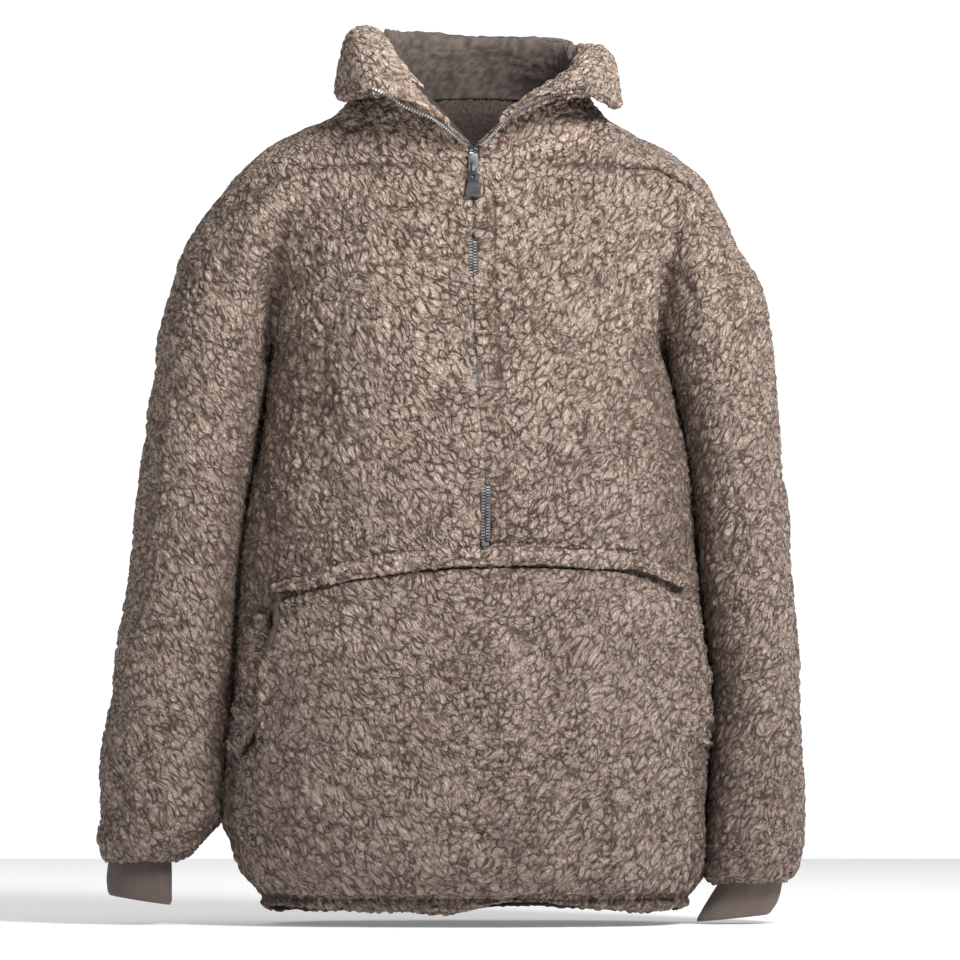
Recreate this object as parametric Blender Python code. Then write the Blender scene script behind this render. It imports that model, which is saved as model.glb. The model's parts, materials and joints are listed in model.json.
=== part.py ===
"""Half-zip pullover of sherpa fleece, filled out as if worn, with its stand collar splayed open.

Metres, +Z up. The front faces -Y and +X is the wearer's left. The origin is the middle of the
neck at the height where the shoulders hold the garment up. Tables are in millimetres.
"""

import bpy
import math
import numpy as np

MM = 0.001

# Cloth
FLEECE = 6.0 * MM
LINING = 2.5 * MM
LINING_GAP = 0.95 * MM
RIB_KNIT = 3.0 * MM
SEAM_GAP = 0.45 * MM
SLEEVE_CLEARANCE = 2.0 * MM
PIT_EASE = 0.8 * MM

# Heights
HEM_TOP = -737.0 * MM
HEM_BOTTOM = -754.0 * MM
ARMPIT = -223.0 * MM
ARMHOLE_OUTER = -187.0 * MM
NECK_FRONT = -29.0 * MM
NECK_SIDE = 12.0 * MM
NECK_BACK = 30.0 * MM

# Zip
ZIP_END = -402.0 * MM
ZIP_SLIT = 10.0 * MM
CHAIN_WIDTH = 3.8 * MM
CHAIN_DEPTH = 2.0 * MM
CHAIN_EASE = 2.3 * MM
CHAIN_EASE_START = 0.6
CHAIN_EASE_ROWS = 3.4
STOP_HEIGHT = 4.0 * MM

# Slider and pull in millimetres about the pull's pivot, with the cloth's surface at depth 0
PULL_PIVOT = -43.0 * MM
SLIDER_BACK = 0.4
SLIDER_THICK = 2.6
SLIDER_OUTLINE = (
    (-3.6, -4.5), (3.6, -4.5), (4.6, -3.0), (4.6, 6.0), (4.9, 12.0),
    (4.4, 15.5), (1.8, 16.5), (-1.8, 16.5), (-4.4, 15.5), (-4.9, 12.0), (-4.6, 6.0), (-4.6, -3.0),
)
BRIDGE_STAND = 6.0
BRIDGE_LOW = -2.9
BRIDGE_HIGH = 7.4
PULL_MIDDLE = -4.5
PULL_THICK = 1.2
PULL_OUTLINE = (
    (-6.6, -28.0), (6.6, -28.0), (7.4, -27.0), (7.3, -24.0), (4.4, -7.0), (3.4, -4.0), (3.4, 0.1),
    (2.8, 0.7), (-2.8, 0.7), (-3.4, 0.1), (-3.4, -4.0), (-4.4, -7.0), (-7.3, -24.0), (-7.4, -27.0),
)

# Squareness of the torso's cross-section: 2 is an ellipse
SQUARE_FRONT = 2.35
SQUARE_BACK = 2.5

# Grid: cells in half a front, an arm's front half and half a back, and rows of each stretch
FRONT_CELLS = 7
ARM_CELLS = 7
BACK_CELLS = 6
SEAM_CELL = 4
HEM_ROWS = 3
SKIRT_ROWS = 12
ZIP_ROWS = 7
CHEST_ROWS = 8
YOKE_ROWS = 3
SLEEVE_ROWS = 17
YOKE_START = 2

# Torso: its two sides, and how far its front and back stand from the plane of the shoulders
TORSO = {
    "height": (-760, -737, -712, -665, -609, -553, -475, -415, -358, -303, -263, -223,
               -190, -132, -101, -70, -36, -8, 14, 40),
    "right": (-200, -207, -226, -240, -237, -231, -226, -221, -215, -204, -198, -194,
              -192, -190, -184, -172, -155, -128, -108, -90),
    "left": (202, 207, 217, 219, 220, 223, 216, 212, 208, 201, 192, 183,
             179, 186, 192, 190, 169, 132, 106, 90),
    "front": (138, 143, 157, 164, 164, 162, 158, 154, 151, 148, 146, 143,
              140, 131, 124, 115, 104, 95, 87, 76),
    "back": (116, 121, 132, 137, 137, 135, 133, 132, 131, 131, 131, 131,
             130, 128, 124, 118, 109, 99, 91, 82),
}

# Dropped shoulders: their outlines, the half depth of the upper arm, and how much of that
# depth the crease beside the chest and the one beside the back have, where 1 is no crease
SHOULDER = {
    "height": (-223, -205, -187, -156, -129, -102, -75, -48, -35, -21, -8, 6, 14, 40),
    "right": (-307, -305, -302, -293, -285, -270, -255, -234, -219, -202, -179, -145, -130, -110),
    "left": (287, 286, 284, 276, 263, 250, 237, 220, 204, 187, 161, 133, 122, 108),
    "arm": (82, 83, 84, 86, 88, 89, 89, 87, 84, 80, 75, 69, 65, 58),
    "front_crease": (0, 0.34, 0.5, 0.68, 0.82, 0.93, 0.98, 1, 1, 1, 1, 1, 1, 1),
    "back_crease": (0, 0.42, 0.62, 0.8, 0.92, 0.98, 1, 1, 1, 1, 1, 1, 1, 1),
}

# Sleeves: outer and inner outline, half depth, and how far the sleeve hangs forward
SLEEVE = {
    "right": {
        "height": (-705, -698, -684, -665, -609, -540, -475, -384, -303, -223),
        "outer": (-356, -359, -363, -361, -360, -350, -341, -326, -318, -307),
        "inner": (-284, -272, -258, -246, -238, -231, -228, -221, -206, -196),
        "depth": (38, 50, 62, 68, 70, 71, 72, 74, 78, 82),
        "forward": (26, 25, 24, 22, 19, 15, 11, 6, 2, 0),
    },
    "left": {
        "height": (-725, -716, -700, -665, -609, -540, -475, -384, -303, -223),
        "outer": (303, 311, 316, 317, 316, 314, 310, 303, 295, 287),
        "inner": (231, 225, 224, 226, 230, 234, 225, 213, 203, 186),
        "depth": (34, 48, 60, 68, 70, 71, 72, 74, 78, 82),
        "forward": (10, 11, 12, 14, 14, 12, 9, 5, 2, 0),
    },
}

# Cuffs, upper end first: centre across, centre forward, height, half width, half depth
CUFF = {
    "right": ((-320, 26, -699, 29.3, 31.3), (-321, 27, -722, 30.5, 32), (-320, 28, -740, 31, 32)),
    "left": ((267, 10, -719, 28.6, 26.6), (257, 8, -742, 34, 28), (248, 7, -758, 36, 28)),
}
CUFF_TILT = {"right": 0.16, "left": -0.1}
CUFF_RIBS = 40
RIB_HEIGHT = 0.9 * MM

# The zip drifts to the wearer's left as it goes down
ZIP_LINE = {"height": (-760, -402, -318, -290, -250, -200, 40), "across": (11, 11, 10, 7, 4, 1, 0)}

# Collar sections from the right front edge round the back to the left one, each with the
# place of its roll line, the middle of what is turned out, and its free edge
COLLAR = {
    "share": (0, 0.06, 0.13, 0.21, 0.29, 0.36, 0.42, 0.46, 0.5, 0.54, 0.58, 0.64, 0.71, 0.79, 0.87, 0.94, 1),
    "roll_x": (-9, -32, -57, -78, -90, -97, -76, -41, 0, 41, 80, 103, 100, 90, 65, 32, 9),
    "roll_y": (-101, -101, -92, -68, -38, 6, 50, 74, 83, 75, 52, 8, -38, -66, -91, -101, -101),
    "roll_z": (-19, 6, 29, 55, 74, 80, 77, 74, 73, 71, 67, 62, 53, 39, 24, 4, -19),
    "turn_x": (-48, -78, -98, -110, -113, -105, -78, -41, 0, 41, 81, 109, 121, 122, 107, 81, 52),
    "turn_y": (-126, -124, -110, -78, -37, 14, 56, 78, 87, 79, 57, 14, -37, -76, -108, -124, -126),
    "turn_z": (10, 34, 57, 77, 85, 86, 84, 82, 80, 78, 75, 72, 69, 58, 44, 26, 14),
    "edge_x": (-98, -112, -121, -125, -126, -117, -84, -42, 0, 42, 88, 119, 131, 135, 130, 122, 112),
    "edge_y": (-130, -114, -86, -48, -12, 26, 64, 84, 91, 85, 66, 26, -12, -48, -86, -114, -130),
    "edge_z": (29, 24, 22, 25, 34, 58, 84, 86, 84, 82, 77, 55, 32, 18, 16, 24, 34),
}
COLLAR_ROWS = 8

# Plush lining of the collar: its upper edge in rows of the collar, and where that edge is steep
LINING_EDGE = {
    "share": (0, 0.1, 0.25, 0.375, 0.44, 0.5, 0.58, 0.64, 0.75, 0.9, 1),
    "rows": (0, 1.9, 2.2, 2.5, 7.2, 7.6, 7.2, 2.5, 2.1, 1.8, 0),
}
LINING_STEEP = (0.4, 0.61)
LINING_BRIDGE = 3.6 * MM
LINING_REACH = 0.042

# Kangaroo pocket: its side edges at some heights, its top edge, and how it stands off the front
POCKET = {
    "height": (-740, -612, -604, -592, -573, -547, -517, -497, -470, -440),
    "right": (-245, -237, -219, -204, -201, -195, -189, -183, -178, -184),
    "left": (225, 219, 217, 213, 209, 207, 205, 203, 201, 200),
}
POCKET_TOP = {
    "across": (-240, -189, -119, -71, 6, 83, 159, 207, 240),
    "height": (-446, -442, -425, -417, -411, -412, -420, -441, -446),
}
POCKET_BOTTOM = -732.0 * MM
POCKET_CLOTH = 5.0 * MM
POCKET_HOLLOW = 10.0 * MM
POCKET_GAPE = 16.0 * MM
POCKET_REACH = 0.93
POCKET_FIXED = 4
POCKET_SPREAD = 2
SIDE_EASE = 1.5 * MM
BAND_EASE = 0.4 * MM
EDGE_EASE = -0.4 * MM
BAND_HALF = 9.5 * MM
BAND_RISE = 9.0 * MM
EDGE_RISE = 8.0 * MM
BAND_STEPS = 16

# Padded strips on the front, as rows of place across and height
POCKET_HEM_ENDS = (-190, 198)
EDGE_ROUTE_RIGHT = ((-199, -466), (-205, -500), (-211, -540), (-219, -575), (-229, -603))
EDGE_ROUTE_LEFT = ((203, -455), (209, -500), (216, -553), (216, -580), (213, -598))

# Folds: a line down the cloth, its half width, and how far it stands out
CHEST_FOLDS = {
    "from_x": (-158, 128, -100),
    "from_z": (-250, -240, -150),
    "to_x": (-140, 160, -120),
    "to_z": (-350, -320, -260),
    "width": (26, 22, 26),
    "out": (-5, -5, 3),
}
POCKET_FOLDS = {
    "from_x": (-5, 52, -120, 125),
    "from_z": (-450, -480, -500, -560),
    "to_x": (80, 108, -160, 175),
    "to_z": (-725, -735, -720, -725),
    "width": (34, 20, 30, 26),
    "out": (9, -9, 5, -4),
}
BACK_FOLDS = {
    "from_x": (-60, 70, 0, -130, 125),
    "from_z": (-200, -380, -120, -420, -180),
    "to_x": (-110, 130, 15, -60, 60),
    "to_z": (-520, -700, -330, -700, -420),
    "width": (34, 32, 40, 30, 30),
    "out": (6, 6, -5, -5, 4),
}

# The hem's lower edge rises and falls across the front
HEM_WAVE = {
    "across": (-210, -71, -22, -3, 23, 62, 85, 121, 178, 210),
    "drop": (4, 4, 9, 5, -2, -8, -5, 1, 3, 0),
}


def smooth(heights, values, at):
    """A smooth curve through the rows of a table, read at one or more places."""
    xs = np.asarray(heights, float)
    ys = np.asarray(values, float)
    slopes = np.gradient(ys, xs)
    at = np.clip(np.asarray(at, float), xs[0], xs[-1])
    left = np.clip(np.searchsorted(xs, at, side="right") - 1, 0, len(xs) - 2)
    span = xs[left + 1] - xs[left]
    t = (at - xs[left]) / span
    rise = t * t * (3 - 2 * t)
    start = t * (1 - t) ** 2 * span * slopes[left]
    end = t * t * (t - 1) * span * slopes[left + 1]
    return ys[left] * (1 - rise) + ys[left + 1] * rise + start + end


def read(table, column, height):
    """A table's column at a height given in metres. Lengths come back in metres."""
    return smooth(table["height"], table[column], height / MM) * MM


def share(table, column, height):
    return np.clip(smooth(table["height"], table[column], height / MM), 0, 1)


def zip_across(height):
    return read(ZIP_LINE, "across", height)


def fold_out(folds, x, z):
    """How far a table of folds lifts the cloth at a place."""
    total = 0.0
    for row in range(len(folds["out"])):
        start = np.array((folds["from_x"][row], folds["from_z"][row])) * MM
        along = np.array((folds["to_x"][row], folds["to_z"][row])) * MM - start
        near = min(1.0, max(0.0, ((x - start[0]) * along[0] + (z - start[1]) * along[1]) / (along @ along)))
        away = math.hypot(x - start[0] - near * along[0], z - start[1] - near * along[1])
        total += folds["out"][row] * MM * math.exp(-((away / (folds["width"][row] * MM)) ** 2))
    return total


def crease_depth(z, face):
    """How far the crease beside the chest or back stands from the plane of the shoulders."""
    column = "front_crease" if face < 0 else "back_crease"
    return read(SHOULDER, "arm", z) * share(SHOULDER, column, z) if z > ARMPIT else 0.0


def torso_point(side, face, q, z):
    """A point of the torso: q runs from the middle (0) to the side or the crease (1)."""
    name = "right" if side < 0 else "left"
    square = SQUARE_FRONT if face < 0 else SQUARE_BACK
    depth = read(TORSO, "front" if face < 0 else "back", z)
    middle = zip_across(z) + side * ZIP_SLIT / 2 if face < 0 else 0.0
    width = read(TORSO, name, z) - middle
    lowest = math.asin(min(1.0, crease_depth(z, face) / depth) ** (square / 2))
    turn = math.pi / 2 * (1 - q) + lowest * q
    x = middle + width * (math.cos(turn) / math.cos(lowest)) ** (2 / square)
    y = face * depth * math.sin(turn) ** (2 / square)
    edge = math.sin(math.pi / 2 * min(1.0, 2 * (1 - q)))
    folds = CHEST_FOLDS if face < 0 else BACK_FOLDS
    return np.array((x, y + face * edge * fold_out(folds, x, z), z))


def arm_point(side, face, r, z):
    """A point of the dropped shoulder: r runs from the crease (0) to the shoulder's ridge (1)."""
    name = "right" if side < 0 else "left"
    crease = torso_point(side, face, 1.0, z)[0]
    ridge = read(SHOULDER, name, z)
    depth = read(SHOULDER, "arm", z)
    last = math.pi - math.asin(min(1.0, crease_depth(z, face) / depth))
    turn = last * (1 - r)
    x = ridge + (crease - ridge) * (1 - math.cos(turn)) / (1 - math.cos(last))
    return np.array((x, face * depth * math.sin(turn), z))


def sleeve_point(side, turn, z):
    """A point of a sleeve's ring: the turn is 0 at its outer line and pi at its inner line."""
    table = SLEEVE["right" if side < 0 else "left"]
    body = read(TORSO, "right" if side < 0 else "left", z) + side * SLEEVE_CLEARANCE
    outer = read(table, "outer", z)
    inner = read(table, "inner", z)
    if z > HEM_BOTTOM:
        inner = side * max(side * inner, side * body)
    x = outer + (inner - outer) * (1 - math.cos(turn)) / 2
    return np.array((x, -read(table, "forward", z) - math.sin(turn) * read(table, "depth", z), z))


def neck_height(place):
    """Height of the neck seam: place is 0 at the front's middle, 1 at the sides, 2 behind."""
    low, high = (NECK_FRONT, NECK_SIDE) if place < 1 else (NECK_SIDE, NECK_BACK)
    part = place if place < 1 else place - 1
    return low + (high - low) * math.sin(math.pi / 2 * part) ** 2


def half_ring(side):
    """The columns of one side: kind, face, share along its stretch, and place round the neck."""
    stretches = (
        ("torso", -1, np.linspace(0, 1, FRONT_CELLS + 1), 0.0, 0.62),
        ("arm", -1, np.linspace(0, 1, ARM_CELLS + 1)[1:], 0.62, 1.0),
        ("arm", 1, np.linspace(1, 0, ARM_CELLS + 1)[1:], 1.0, 1.38),
        ("torso", 1, np.linspace(1, 0, BACK_CELLS + 1)[1:], 1.38, 2.0),
    )
    columns = []
    for kind, face, shares, start, end in stretches:
        for part in shares:
            along = part if face < 0 else 1 - part
            columns.append((kind, face, float(part), start + (end - start) * float(along)))
    return columns


def ring_point(side, column, z):
    kind, face, part, _ = column
    if kind == "torso":
        return torso_point(side, face, part, z)
    return arm_point(side, face, part, z)


def armhole_height(column):
    """The armhole seam climbs from the armpit to the shoulder's outer line."""
    kind, _, part, _ = column
    if kind == "torso":
        return ARMPIT
    return ARMPIT + (ARMHOLE_OUTER - ARMPIT) * math.sin(math.pi / 2 * part) ** 2


def yoke_height(column):
    """The forward shoulder seam falls away towards the arm."""
    kind, _, part, place = column
    if kind == "torso":
        return (-36.0 - 4.0 * part) * MM
    return (-40.0 - 26.0 * min(1.0, part * ARM_CELLS / SEAM_CELL)) * MM


class Shell:
    """The welded outer surface of the garment. Its cells are shared out among the panels."""

    def __init__(self):
        self.points = []
        self.places = {}
        self.cells = {}
        self.collar = []

    def vertex(self, point):
        key = tuple(np.round(point / (0.01 * MM)).astype(int))
        if key not in self.places:
            self.places[key] = len(self.points)
            self.points.append(np.asarray(point, float))
        return self.places[key]

    def cell(self, panel, corners, side):
        loop = corners if side > 0 else corners[::-1]
        self.cells.setdefault(panel, []).append(tuple(self.vertex(point) for point in loop))

    def normals(self):
        points = np.array(self.points)
        total = np.zeros_like(points)
        for cells in self.cells.values():
            for loop in cells:
                corners = points[list(loop)]
                cross = np.cross(corners[2] - corners[0], corners[3] - corners[1])
                total[list(loop)] += cross
        return total / np.maximum(np.linalg.norm(total, axis=1), 1e-12)[:, None]


def body_rows(column):
    """Heights of the rows of one column, from the hem's seam to the neck."""
    armhole, neck = armhole_height(column), neck_height(column[3])
    yoke = min(yoke_height(column), neck - 4 * MM)
    skirt = np.linspace(HEM_TOP, ZIP_END, SKIRT_ROWS + 1)[:-1]
    waist = np.linspace(ZIP_END, ARMPIT, ZIP_ROWS + 1)[:-1]
    chest = np.linspace(armhole, yoke, CHEST_ROWS + 1)[:-1]
    return np.concatenate([skirt, waist, chest, np.linspace(yoke, neck, YOKE_ROWS + 1)])


def panel_of(column, row):
    """The panel of the cell before a column, or none where the armhole is open."""
    kind, face, part, _ = column
    if kind == "arm" and row < SKIRT_ROWS + ZIP_ROWS:
        return None
    if face > 0:
        return "back"
    if kind == "arm":
        in_yoke = part * ARM_CELLS > SEAM_CELL + 0.5
    else:
        in_yoke = part * FRONT_CELLS > YOKE_START + 0.5
    in_top = row >= SKIRT_ROWS + ZIP_ROWS + CHEST_ROWS
    return "back" if in_yoke and (in_top or kind == "arm") or in_top and kind == "arm" else "front"


def add_strip(shell, panel, near, far, side):
    """Cells between two columns of points that run up the cloth."""
    for row in range(len(near) - 1):
        name = panel(row) if callable(panel) else panel
        if name:
            corners = (near[row], far[row], far[row + 1], near[row + 1])
            shell.cell(name, corners, side)


def hem_column(side, column):
    """The hem casing swells below its seam and turns in at its lower edge."""
    points = []
    for row in range(HEM_ROWS + 1):
        down = 1 - row / HEM_ROWS
        point = ring_point(side, column, HEM_TOP + (HEM_BOTTOM - HEM_TOP) * down)
        swell = 1 + 0.022 * math.sin(math.pi * down) - 0.012 * down
        drop = float(smooth(HEM_WAVE["across"], HEM_WAVE["drop"], point[0] / MM)) * MM
        drop *= down * (0.3 + 0.7 * min(1.0, max(0.0, -point[1] / (100 * MM))))
        points.append(np.array((point[0] * swell, point[1] * swell, point[2] - drop)))
    return points


def collar_point(place, rise, seam):
    """A point of the collar's outer side: the rise is 0 at the neck seam and 1 at the free edge."""
    point = []
    for axis, letter in enumerate("xyz"):
        guides = [seam[axis] / MM]
        for guide in ("roll", "turn", "edge"):
            guides.append(float(smooth(COLLAR["share"], COLLAR[guide + "_" + letter], place)))
        point.append(float(smooth((0, 1, 2, 3), guides, 3 * rise)) * MM)
    return np.array(point)


def collar_column(side, column, seam):
    place = column[3] / 4 if side < 0 else 1 - column[3] / 4
    rises = np.linspace(0, 1, COLLAR_ROWS + 1)
    return [seam] + [collar_point(place, rise, seam) for rise in rises[1:]]


def sleeve_column(side, column, start):
    """A line down the sleeve from its armhole seam to its end."""
    _, face, part, _ = column
    part = 0.0 if column[0] == "torso" else part
    end = SLEEVE["right" if side < 0 else "left"]["height"][0] * MM
    points = [start]
    for row in range(1, SLEEVE_ROWS + 1):
        down = 1 - (1 - row / SLEEVE_ROWS) ** 1.35
        height = start[2] + (end - start[2]) * down
        turn = -face * math.pi * (1 - part)
        points.append(sleeve_point(side, turn, height))
    return points[::-1]


def build_shell():
    shell = Shell()
    middle = {}
    for side in (-1, 1):
        name = "right" if side < 0 else "left"
        columns = half_ring(side)
        grid = [[ring_point(side, c, z) for z in body_rows(c)] for c in columns]
        collars = [collar_column(side, c, points[-1]) for c, points in zip(columns, grid)]
        armhole = SKIRT_ROWS + ZIP_ROWS
        first, last = FRONT_CELLS, FRONT_CELLS + 2 * ARM_CELLS
        places = [(column[3] / 4 if side < 0 else 1 - column[3] / 4) for column in columns]
        rows = [(place, [shell.vertex(point) for point in line]) for place, line in zip(places, collars)]
        shell.collar += rows if side < 0 else rows[-2::-1]
        middle[side] = (grid[0], hem_column(side, columns[0]))
        for i in range(len(columns) - 1):
            far = columns[i + 1]
            add_strip(shell, lambda row: panel_of(far, row), grid[i], grid[i + 1], side)
            add_strip(shell, "collar", collars[i], collars[i + 1], side)
            if not first <= i < last:
                add_strip(shell, "hem_band", hem_column(side, columns[i]), hem_column(side, far), side)
                continue
            tops = grid[i][armhole], grid[i + 1][armhole]
            near, other = sleeve_column(side, columns[i], tops[0]), sleeve_column(side, far, tops[1])
            add_strip(shell, "sleeve_" + name, near, other, side)
    (right, right_hem), (left, left_hem) = middle[-1], middle[1]
    add_strip(shell, "front", right[:SKIRT_ROWS + 1], left[:SKIRT_ROWS + 1], 1)
    add_strip(shell, "hem_band", right_hem, left_hem, 1)
    return shell


def seam_shifts(points, loops):
    """How far each edge point of a panel is drawn in, so that panels stay apart at their seams."""
    edges = {}
    for loop in loops:
        centre = points[list(loop)].mean(axis=0)
        for a, b in zip(loop, loop[1:] + loop[:1]):
            edges[(a, b)] = centre
    inward = {}
    for (a, b), centre in edges.items():
        if (b, a) in edges or a == b:
            continue
        along = points[b] - points[a]
        if np.linalg.norm(along) < 1e-7:
            continue
        along /= np.linalg.norm(along)
        into = centre - points[a]
        into -= along * (into @ along)
        into /= np.linalg.norm(into)
        inward.setdefault(a, []).append(into)
        inward.setdefault(b, []).append(into)
    shifts = {}
    for vertex, ways in inward.items():
        total = sum(ways)
        spread = max(0.35, 1 + float(ways[0] @ ways[-1]))
        shifts[vertex] = total / spread * SEAM_GAP / 2
    return shifts


def mesh_object(name, points, faces, material, smooth_shade=True):
    mesh = bpy.data.meshes.new(name)
    mesh.from_pydata([tuple(point) for point in points], [], faces)
    mesh.validate()
    obj = bpy.data.objects.new(name, mesh)
    bpy.context.scene.collection.objects.link(obj)
    mesh.materials.append(material)
    if smooth_shade:
        mesh.shade_smooth()
        mesh.set_sharp_from_angle(angle=math.radians(50))
    return obj


def wall(name, outer, inner, loops, material):
    """A closed wall between two layers that share their loops of point numbers."""
    used = sorted({vertex for loop in loops for vertex in loop})
    number = {vertex: i for i, vertex in enumerate(used)}
    count = len(used)
    faces, edges = [], set()
    for loop in loops:
        ring = []
        for vertex in loop:
            if number[vertex] not in ring:
                ring.append(number[vertex])
        if len(ring) < 3:
            continue
        faces.append(tuple(ring))
        faces.append(tuple(i + count for i in ring[:1] + ring[:0:-1]))
        edges.update(zip(ring, ring[1:] + ring[:1]))
    for a, b in sorted(edges):
        if (b, a) in edges:
            continue
        if a < b:
            faces += [(b, a, b + count), (a, a + count, b + count)]
        else:
            faces += [(b, a, a + count), (b, a + count, b + count)]
    points = [outer[vertex] for vertex in used] + [inner[vertex] for vertex in used]
    return mesh_object(name, points, faces, material)


def grid_loops(rows, columns, closed=False):
    """Loops of a grid of points numbered row by row. Seen from outside, rows go up and columns
    to the viewer's right."""
    loops = []
    for row in range(rows - 1):
        for column in range(columns if closed else columns - 1):
            a, b = row * columns + column, row * columns + (column + 1) % columns
            loops.append((a, b, b + columns, a + columns))
    return loops


def material(name, colour, roughness, metallic=0.0):
    made = bpy.data.materials.new(name)
    made.use_nodes = True
    shader = made.node_tree.nodes["Principled BSDF"]
    shader.inputs["Base Color"].default_value = (*colour, 1)
    shader.inputs["Roughness"].default_value = roughness
    shader.inputs["Metallic"].default_value = metallic
    return made


def make_garment(shell, fleece):
    """Front, back, sleeves, collar and hem casing, all cut from one welded surface."""
    points = np.array(shell.points)
    normals = shell.normals()
    pits = {side: shell.vertex(torso_point(side, -1, 1.0, ARMPIT)) for side in (-1, 1)}
    for pit in pits.values():
        normals[pit] = (0, 0, -1)
    for name, loops in shell.cells.items():
        shifts = seam_shifts(points, loops)
        outer = points.copy()
        for side, pit in pits.items():
            if name.startswith("sleeve"):
                outer[pit] = outer[pit] + np.array((side * PIT_EASE, 0, -PIT_EASE / 2))
        for vertex, shift in shifts.items():
            outer[vertex] = outer[vertex] + shift
        wall(name, outer, outer - normals * FLEECE, loops, fleece)
    return normals


def front_skin(side, q, z, out):
    """A point of the front, moved out along its normal. Near the sides it stands off a little
    more, where the front is most curved."""
    step = 0.02
    across = torso_point(side, -1, min(1.0, q + step), z) - torso_point(side, -1, max(0.0, q - step), z)
    up = torso_point(side, -1, q, z + 4 * MM) - torso_point(side, -1, q, z - 4 * MM)
    normal = np.cross(across * side, up)
    normal /= np.linalg.norm(normal)
    return torso_point(side, -1, q, z) + normal * (SEAM_GAP + SIDE_EASE * q ** 3 + out)


def front_share(side, x, z):
    """The column share of a place on the front, counted from the zip to the side."""
    middle = zip_across(z) + side * ZIP_SLIT / 2
    width = read(TORSO, "right" if side < 0 else "left", z) - middle
    across = min(0.99, max(0.0, (x - middle) / width))
    return 1 - math.acos(across ** (SQUARE_FRONT / 2)) / (math.pi / 2)


def on_front(x, z, out):
    side = -1 if x < zip_across(z) else 1
    return front_skin(side, front_share(side, x, z), z, out)


def pocket_edge_share(side, z):
    """Column share of a pocket's side edge: the hand opening, then the side seam below it."""
    edge = read(POCKET, "right" if side < 0 else "left", z)
    seam = read(TORSO, "right" if side < 0 else "left", z) * POCKET_REACH
    return front_share(side, side * min(side * edge, side * seam), z)


def pocket_line(x):
    """Height of the middle of the pocket's padded top edge."""
    return float(smooth(POCKET_TOP["across"], POCKET_TOP["height"], x / MM)) * MM


def pocket_top(side, q):
    """Height of the pocket's top edge in one column."""
    z = POCKET_BOTTOM * 0.6
    for _ in range(4):
        x = torso_point(side, -1, q, z)[0]
        slope = (pocket_line(x + MM) - pocket_line(x)) / MM
        z = pocket_line(x) - (BAND_HALF + SEAM_GAP) * math.hypot(1, slope)
    return z


def pocket_column(side, number):
    """Outer and inner points up one column of the pocket, in line with the front's columns."""
    rows = np.linspace(HEM_TOP, ZIP_END, SKIRT_ROWS + 1)[1:-2]
    outer, inner = [], []
    for row in range(len(rows) + 2):
        z = POCKET_BOTTOM if row == 0 else rows[min(row, len(rows)) - 1]
        edge = pocket_edge_share(side, z)
        fixed = POCKET_FIXED / FRONT_CELLS
        spread = (number - POCKET_FIXED) / POCKET_SPREAD
        q = number / FRONT_CELLS if number <= POCKET_FIXED else fixed + (edge - fixed) * spread
        if row > len(rows):
            z = pocket_top(side, q)
        rise = row / (len(rows) + 1)
        x = torso_point(side, -1, q, z)[0]
        hand = math.sin(math.pi * min(1.0, max(0.0, (rise - 0.42) / 0.55)))
        near_edge = max(0.0, spread) ** 1.5
        bulge = math.sin(math.pi * rise) ** 0.7
        hollow = POCKET_HOLLOW * bulge * (1 - near_edge) + POCKET_GAPE * hand * near_edge
        hollow += fold_out(POCKET_FOLDS, x, z) * bulge * (1 - near_edge)
        outer.append(front_skin(side, q, z, hollow + POCKET_CLOTH))
        inner.append(front_skin(side, q, z, hollow))
    return outer, inner


def pocket_layers():
    """The pocket panel stands off the front, most at its hand openings."""
    numbers = range(POCKET_FIXED + POCKET_SPREAD + 1)
    columns = [pocket_column(-1, n) for n in reversed(numbers)] + [pocket_column(1, n) for n in numbers]
    outer = [point for row in zip(*[column[0] for column in columns]) for point in row]
    inner = [point for row in zip(*[column[1] for column in columns]) for point in row]
    return outer, inner, len(columns[0][0]), len(columns)


def make_pocket(fleece):
    outer, inner, rows, columns = pocket_layers()
    wall("pocket", outer, inner, grid_loops(rows, columns), fleece)


def padded_band(name, route, half_width, height, ease, sections, fleece):
    """A rounded, padded strip that lies on the front along a route of (across, height) rows."""
    outer, inner = [], []
    xs = [row[0] for row in route]
    zs = [row[1] for row in route]
    marks = list(range(len(route)))
    for step in range(BAND_STEPS + 1):
        t = step / BAND_STEPS * (len(route) - 1)
        here = np.array((float(smooth(marks, xs, t)), float(smooth(marks, zs, t)))) * MM
        ahead = np.array((float(smooth(marks, xs, t + 0.05)), float(smooth(marks, zs, t + 0.05)))) * MM
        behind = np.array((float(smooth(marks, xs, t - 0.05)), float(smooth(marks, zs, t - 0.05)))) * MM
        along = (ahead - behind) / np.linalg.norm(ahead - behind)
        aside = np.array((-along[1], along[0]))
        taper = min(1.0, 0.45 + 3 * min(step, BAND_STEPS - step) / BAND_STEPS)
        for column in range(sections):
            u = 1 - 2 * column / (sections - 1)
            x, z = here + aside * half_width * u * taper
            rise = height * taper * math.sqrt(max(0.0, 1 - u * u * 0.9))
            outer.append(on_front(x, z, ease + rise))
            inner.append(on_front(x, z, ease))
    wall(name, outer, inner, grid_loops(BAND_STEPS + 1, sections), fleece)


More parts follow.
